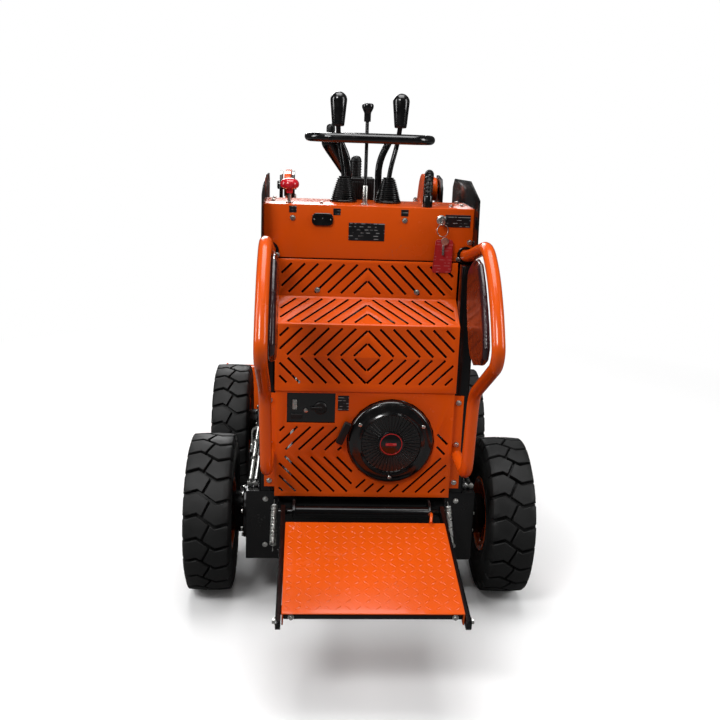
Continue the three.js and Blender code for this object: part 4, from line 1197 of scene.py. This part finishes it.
def lozenge():
    """One raised mark of chequer plate: a long low pointed ridge."""
    bpy.ops.mesh.primitive_circle_add(vertices=12, radius=1, fill_type="NGON")
    mark = bpy.context.object
    edit_all(mark)
    bpy.ops.transform.resize(value=(MARK_HALF_LENGTH, MARK_HALF_WIDTH, 1))
    for rise, along, across in ((0.0011, 0.86, 0.62), (0.0004, 0.75, 0.35)):
        extrude(0, 0, rise)
        bpy.ops.transform.resize(value=(along, across, 1))
    close_outward()
    bpy.ops.object.shade_smooth_by_angle(angle=math.radians(30))
    return mark


deck_slope = math.atan2(DECK_FRONT[1] - DECK_REAR[1], DECK_FRONT[0] - DECK_REAR[0])
deck_length = math.hypot(DECK_FRONT[1] - DECK_REAR[1], DECK_FRONT[0] - DECK_REAR[0])
mark_model = lozenge()
marks = []
rows, columns = int(deck_length / MARK_PITCH), int(2 * DECK_HALF / MARK_PITCH)
for row in range(rows):
    for column in range(columns):
        turn = MARK_TURN if (row + column) % 2 else -MARK_TURN
        mark = copied(mark_model)
        mark.rotation_euler = (0, 0, math.radians(turn))
        mark.location = ((column - (columns - 1) / 2) * MARK_PITCH, (row - (rows - 1) / 2) * MARK_PITCH, 0)
        marks.append(set_place(mark))
chequer = joined(marks)
chequer.rotation_euler = (deck_slope, 0, 0)
chequer.location = place(DECK_SHIFT, (DECK_FRONT[0] + DECK_REAR[0]) / 2,
                         (DECK_FRONT[1] + DECK_REAR[1]) / 2 - 0.0001)
settle(chequer, "chequer_marks", gloss_orange, "platform", "orange_paint")
bpy.data.objects.remove(mark_model)

step_bolts = []
for side_name, side in SIDES:
    outer_spot = place(DECK_SHIFT + side * 0.228, -0.676, 0.259)
    step_bolts.append(aimed(hex_bolt(0.0075, 0.006), (side, 0, 0), outer_spot))
    inner_spot = place(DECK_SHIFT + side * 0.192, -0.675, 0.268)
    step_bolts.append(aimed(hex_bolt(0.0055, 0.005), BACKWARD, inner_spot))
bright(step_bolts, "step_bolts", "platform")
latch_route = [place(0.176, -0.335, 0.352), place(0.18, -0.315, 0.366), place(0.184, -0.28, 0.354),
               place(0.186, -0.24, 0.332)]
latch = tube(rounded_route(latch_route, 0.012), 0.004, 4)
settle(latch, "step_latch", gloss_orange, "platform", "orange_paint")

# ---------------------------------------------------------------- engine, tank and air cleaner
# The petrol engine behind the guards, painted black with cooling fins cast in; the steel oil tank
# with its filler; and the ribbed plastic air cleaner.
cast_black = coated_steel("engine_casting", (0.004, 0.004, 0.0044), 0.25, 0.12, coat=0.0)


def ribs_on(node, count, depth, thick, margin):
    """Low ribs that run round the sides of a block-shaped node, as one mesh."""
    low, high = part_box(node)
    model = []
    for k in range(count):
        z = low.z + margin + k * (high.z - low.z - 2 * margin) / max(count - 1, 1)
        rib = slab(high.x - low.x + 2 * depth, high.y - low.y + 2 * depth, thick, 0.006, 3)
        rib.location = ((low.x + high.x) / 2, (low.y + high.y) / 2, z)
        model.append(ease_edges(rib, thick * 0.3, 1))
    return joined(model)


ease_node("engine_block", "engine_casing", 0.01, cast_black, "machine", "engine_metal", 4)
settle(ribs_on("engine_block", 12, 0.006, 0.004, 0.03), "engine_fins", cast_black, "machine",
       "engine_metal")
ease_node("hydraulic_tank", "oil_tank", 0.012, black_coat, "machine", "black_paint", 4)
tank_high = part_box("hydraulic_tank")[1]
filler = moved(turned([
    (0, 0), (0, 0.03), (0.006, 0.03), (0.008, 0.024), (0.012, 0.024), (0.014, 0.03), (0.03, 0.03),
    (0.034, 0.027), (0.036, 0.02), (0.036, 0)], 36), (0.13, tank_high.y - 0.07, tank_high.z))
plastic(filler, "tank_filler", gloss_black)

air_black = make_rubber("air_cleaner_plastic", (0.0035, 0.0035, 0.0038), (0.006, 0.006, 0.0063), 0.32, 0.6,
                        700, 0.0003)
ease_node("air_filter_box", "air_cleaner", 0.0085, air_black, "machine", "black_plastic", 4)
cleaner_low, cleaner_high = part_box("air_filter_box")
vents = []
for k in range(9):
    x = cleaner_low.x + 0.01 + k * (cleaner_high.x - cleaner_low.x - 0.02) / 8
    rib = panel_block(x - 0.0018, x + 0.0018, 1.135, 1.208, cleaner_low.y - REAR_AXLE, 0.003, 0.001, 0.0008)
    vents.append(rib)
plastic(joined(vents), "air_cleaner_ribs", air_black)
cap_coil = [moved(turned([(0, 0.015), (0, 0.0172), (0.003, 0.0172), (0.003, 0.015), (0, 0.015)], 28),
                  place(-0.027, 0.205, 1.224 + k * 0.0078)) for k in range(6)]
plastic(joined(cap_coil), "air_cleaner_cap_rings", air_black)

# ---------------------------------------------------------------- hydraulic cylinders
# Black painted barrels with a rolled gland and a bright port, and chromed rods. Both end in round
# eyes, and the pins have bolts with hexagon heads.


def make_chrome():
    finish, tree, shader = new_material("rod_chrome")
    haze = remap(tree, noise(tree, object_place(tree), 60, 4, 0.6), 0.35, 0.7)
    feed(tree, shader, Metallic=1.0, Roughness=remap(tree, haze, 0, 1, 0.05, 0.16),
         Base_Color=blend_colours(tree, haze, (0.8, 0.81, 0.82, 1), (0.6, 0.6, 0.6, 1)))
    return finish


chrome = make_chrome()
LIFT_BASE, LIFT_ROD = (0.43, 0.44), (0.64, 1.03)
TILT_BASE, TILT_PIVOT = (1.01, 0.624), (1.13, 0.165)
TILT_REACH, TILT_ANGLE = 0.076, math.radians(60)
TILT_ROD = (TILT_PIVOT[0] + TILT_REACH * math.cos(TILT_ANGLE),
            TILT_PIVOT[1] + TILT_REACH * math.sin(TILT_ANGLE))
pin_bolt = hex_bolt(0.011, 0.007)


def make_cylinder(label, x, base, rod_end, length, radius, rod_radius, tail, eyes, side_name=""):
    """One cylinder: the barrel's length, and how far from its base eye the rod's foot ends."""
    mark = f"_{side_name}" if side_name else ""
    barrel_body, rod_body = f"{label}_cylinder{mark}", f"{label}_ram{mark}"
    start, finish = place(x, *base), place(x, *rod_end)
    along = (finish - start).normalized()
    reach = (finish - start).length
    bore = rod_radius + 0.001
    barrel = aimed(turned([
        (0.02, 0), (0.02, 0.013), (0.036, radius * 0.8), (0.04, radius), (length - 0.034, radius),
        (length - 0.033, radius + 0.0025), (length - 0.03, radius + 0.004),
        (length - 0.006, radius + 0.004), (length - 0.002, radius + 0.001), (length, radius - 0.003),
        (length, bore), (0.049, bore), (0.049, 0)], 40), along, start)
    eye_profile = [(-0.0138, 0), (-0.0138, eyes - 0.0015), (-0.0125, eyes), (0.0125, eyes),
                   (0.0138, eyes - 0.0015), (0.0138, 0)]
    base_eye = turned(eye_profile, 32, start, "X")
    foot = tail - reach
    rod = aimed(turned([(foot, 0), (foot, rod_radius - 0.001), (foot + 0.001, rod_radius),
                        (-0.012, rod_radius), (-0.012, 0)], 32), along, finish)
    rod_eye = turned([(s, r * 0.9 if r else 0) for s, r in eye_profile], 32, finish, "X")
    port = aimed(turned([(radius - 0.002, 0), (radius - 0.002, 0.009), (radius + 0.01, 0.009),
                         (radius + 0.01, 0.012), (radius + 0.02, 0.012), (radius + 0.022, 0.01),
                         (radius + 0.022, 0)], 6),
                 along.cross(Vector((1, 0, 0))), start + along * 0.075)
    settle(joined([barrel, base_eye]), f"{label}_barrel_round{mark}", black_coat, barrel_body,
           "black_paint", f"{label}_barrel{mark}")
    bright([port], f"{label}_port{mark}", barrel_body)
    settle(rod, f"{label}_rod_round{mark}", chrome, rod_body, "rod_chrome", f"{label}_rod{mark}")
    settle(rod_eye, f"{label}_rod_eye{mark}", black_coat, rod_body, "black_paint")


for side_name, side in SIDES:
    make_cylinder("lift", side * 0.286, LIFT_BASE, LIFT_ROD, 0.56, 0.026, 0.014, 0.055, 0.025, side_name)
make_cylinder("tilt", 0, TILT_BASE, TILT_ROD, 0.345, 0.024, 0.012, 0.078, 0.023)

EYE_FACE, ARM_PIN, ARM_PIN_FACE, COUPLER_FACE = 0.3005, (0.4, 1.175), 0.2565, 0.262
pins = []
for side_name, side in SIDES:
    pins.append(aimed(copied(pin_bolt), (side, 0, 0), place(side * ARM_PIN_FACE, *ARM_PIN)))
    pins.append(aimed(copied(pin_bolt), (side, 0, 0), place(side * EYE_FACE, *LIFT_BASE)))
bright(pins, "post_pin_bolts")
eye_pins = [aimed(copied(pin_bolt), (side, 0, 0), place(side * EYE_FACE, *LIFT_ROD)) for _, side in SIDES]
bright(eye_pins, "arm_pin_bolts", "lift_arms")
coupler_pins = [aimed(copied(pin_bolt), (side, 0, 0), place(side * COUPLER_FACE, *TILT_PIVOT))
                for _, side in SIDES]
bright(coupler_pins, "coupler_pin_bolts", "attachment")
bpy.data.objects.remove(pin_bolt)
bpy.data.objects.remove(small_bolt)

# ---------------------------------------------------------------- hydraulic pipes
# Plated steel pipes with hexagon unions: a pair along each ledge of the chassis to the drive
# motors' valve block, and a pair down the inside of each arm and along the cross tube.
PIPE_RADIUS = 0.0058
LEDGE_HEIGHT, CROSS_HEIGHT = 0.3735, 0.4925
OUTER_LANE, INNER_LANE, DROP_LANE = 0.317, 0.3005, 0.3365


def union(spot, direction):
    return aimed(turned([(-0.01, 0), (-0.01, 0.0078), (-0.009, 0.0088), (0.009, 0.0088), (0.01, 0.0078),
                         (0.01, 0)], 6), direction, spot)


for side_name, side in SIDES:
    outer = [place(side * x, y, z) for x, y, z in (
        (OUTER_LANE, -0.13, LEDGE_HEIGHT), (OUTER_LANE, 0.36, LEDGE_HEIGHT), (DROP_LANE, 0.385, 0.36),
        (DROP_LANE, 0.395, 0.29))]
    inner = [place(side * INNER_LANE, y, LEDGE_HEIGHT) for y in (-0.13, 0.3)]
    pipes = [tube(rounded_route(outer, 0.016), PIPE_RADIUS, 4), tube(inner, PIPE_RADIUS, 4)]
    for x, spots in ((OUTER_LANE, (-0.122, 0.06, 0.215)), (INNER_LANE, (-0.122, 0.095, 0.292))):
        pipes += [union(place(side * x, y, LEDGE_HEIGHT), (0, 1, 0)) for y in spots]
    pipes.append(union(place(side * DROP_LANE, 0.395, 0.292), (0, 0, 1)))
    bright(pipes, f"chassis_pipes_{side_name}")
    block = panel_block(-0.022, 0.022, -0.02, 0.02, -REAR_AXLE, 0.021, 0.003, 0.0015)
    block.rotation_euler = (0, 0, side * math.pi / 2)
    block.location = place(side * 0.3262, 0.395, 0.262)
    settle(set_place(block), f"valve_block_{side_name}", black_coat, "machine", "black_paint")
    arm_pipes = []
    for offset, height in ((0.0, 0.0), (0.017, 0.007)):
        route = [place(side * x, y + offset, z + height * (x > 0.21)) for x, y, z in (
            (0.2155, 0.7, 1.113), (0.2155, 0.958, 0.545), (0.203, 0.985, CROSS_HEIGHT),
            (0.052, 0.985, CROSS_HEIGHT))]
        arm_pipes.append(tube(rounded_route(route, 0.022), PIPE_RADIUS, 4))
        arm_pipes.append(union(place(side * 0.06, 0.985 + offset, CROSS_HEIGHT), (1, 0, 0)))
        arm_pipes.append(union(route[0].lerp(route[1], 0.02), route[1] - route[0]))
    bright(arm_pipes, f"arm_pipes_{side_name}", "lift_arms")

# ---------------------------------------------------------------- work lights
# Two square lamps on the hood's front: a black housing with a pale patterned lens, which stands
# for the reflector and the lamps behind it.


def make_lens():
    finish, tree, shader = new_material("lamp_lens", specular=0.6, coat=0.6)
    where = object_place(tree)
    cells = add_node(tree, "TexVoronoi", Vector=where, Scale=70).outputs["Distance"]
    glow = remap(tree, cells, 0.1, 0.6, 1.0, 0.0)
    feed(tree, shader, Base_Color=blend_colours(tree, glow, (0.45, 0.48, 0.5, 1), (0.92, 0.94, 0.95, 1)),
         Roughness=remap(tree, noise(tree, where, 50), 0.3, 0.7, 0.05, 0.15))
    add_bump(tree, cells, shader, 0.5, 0.002)
    return finish


lens = make_lens()
for side_name, side in SIDES:
    node = f"work_light_{side_name}"
    low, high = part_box(node)
    ease_node(node, f"lamp_housing_{side_name}", 0.005, gloss_black, "machine", "black_plastic", 3)
    rim = panel_block(low.x + 0.006, high.x - 0.006, low.z + 0.006, high.z - 0.006, 0, 0.003, 0.006, 0.001)
    rim.location = (0, high.y + 0.003 - REAR_AXLE, 0)
    set_place(rim)
    settle(rim, f"lamp_lens_{side_name}", lens, "machine", "lamp_glass")
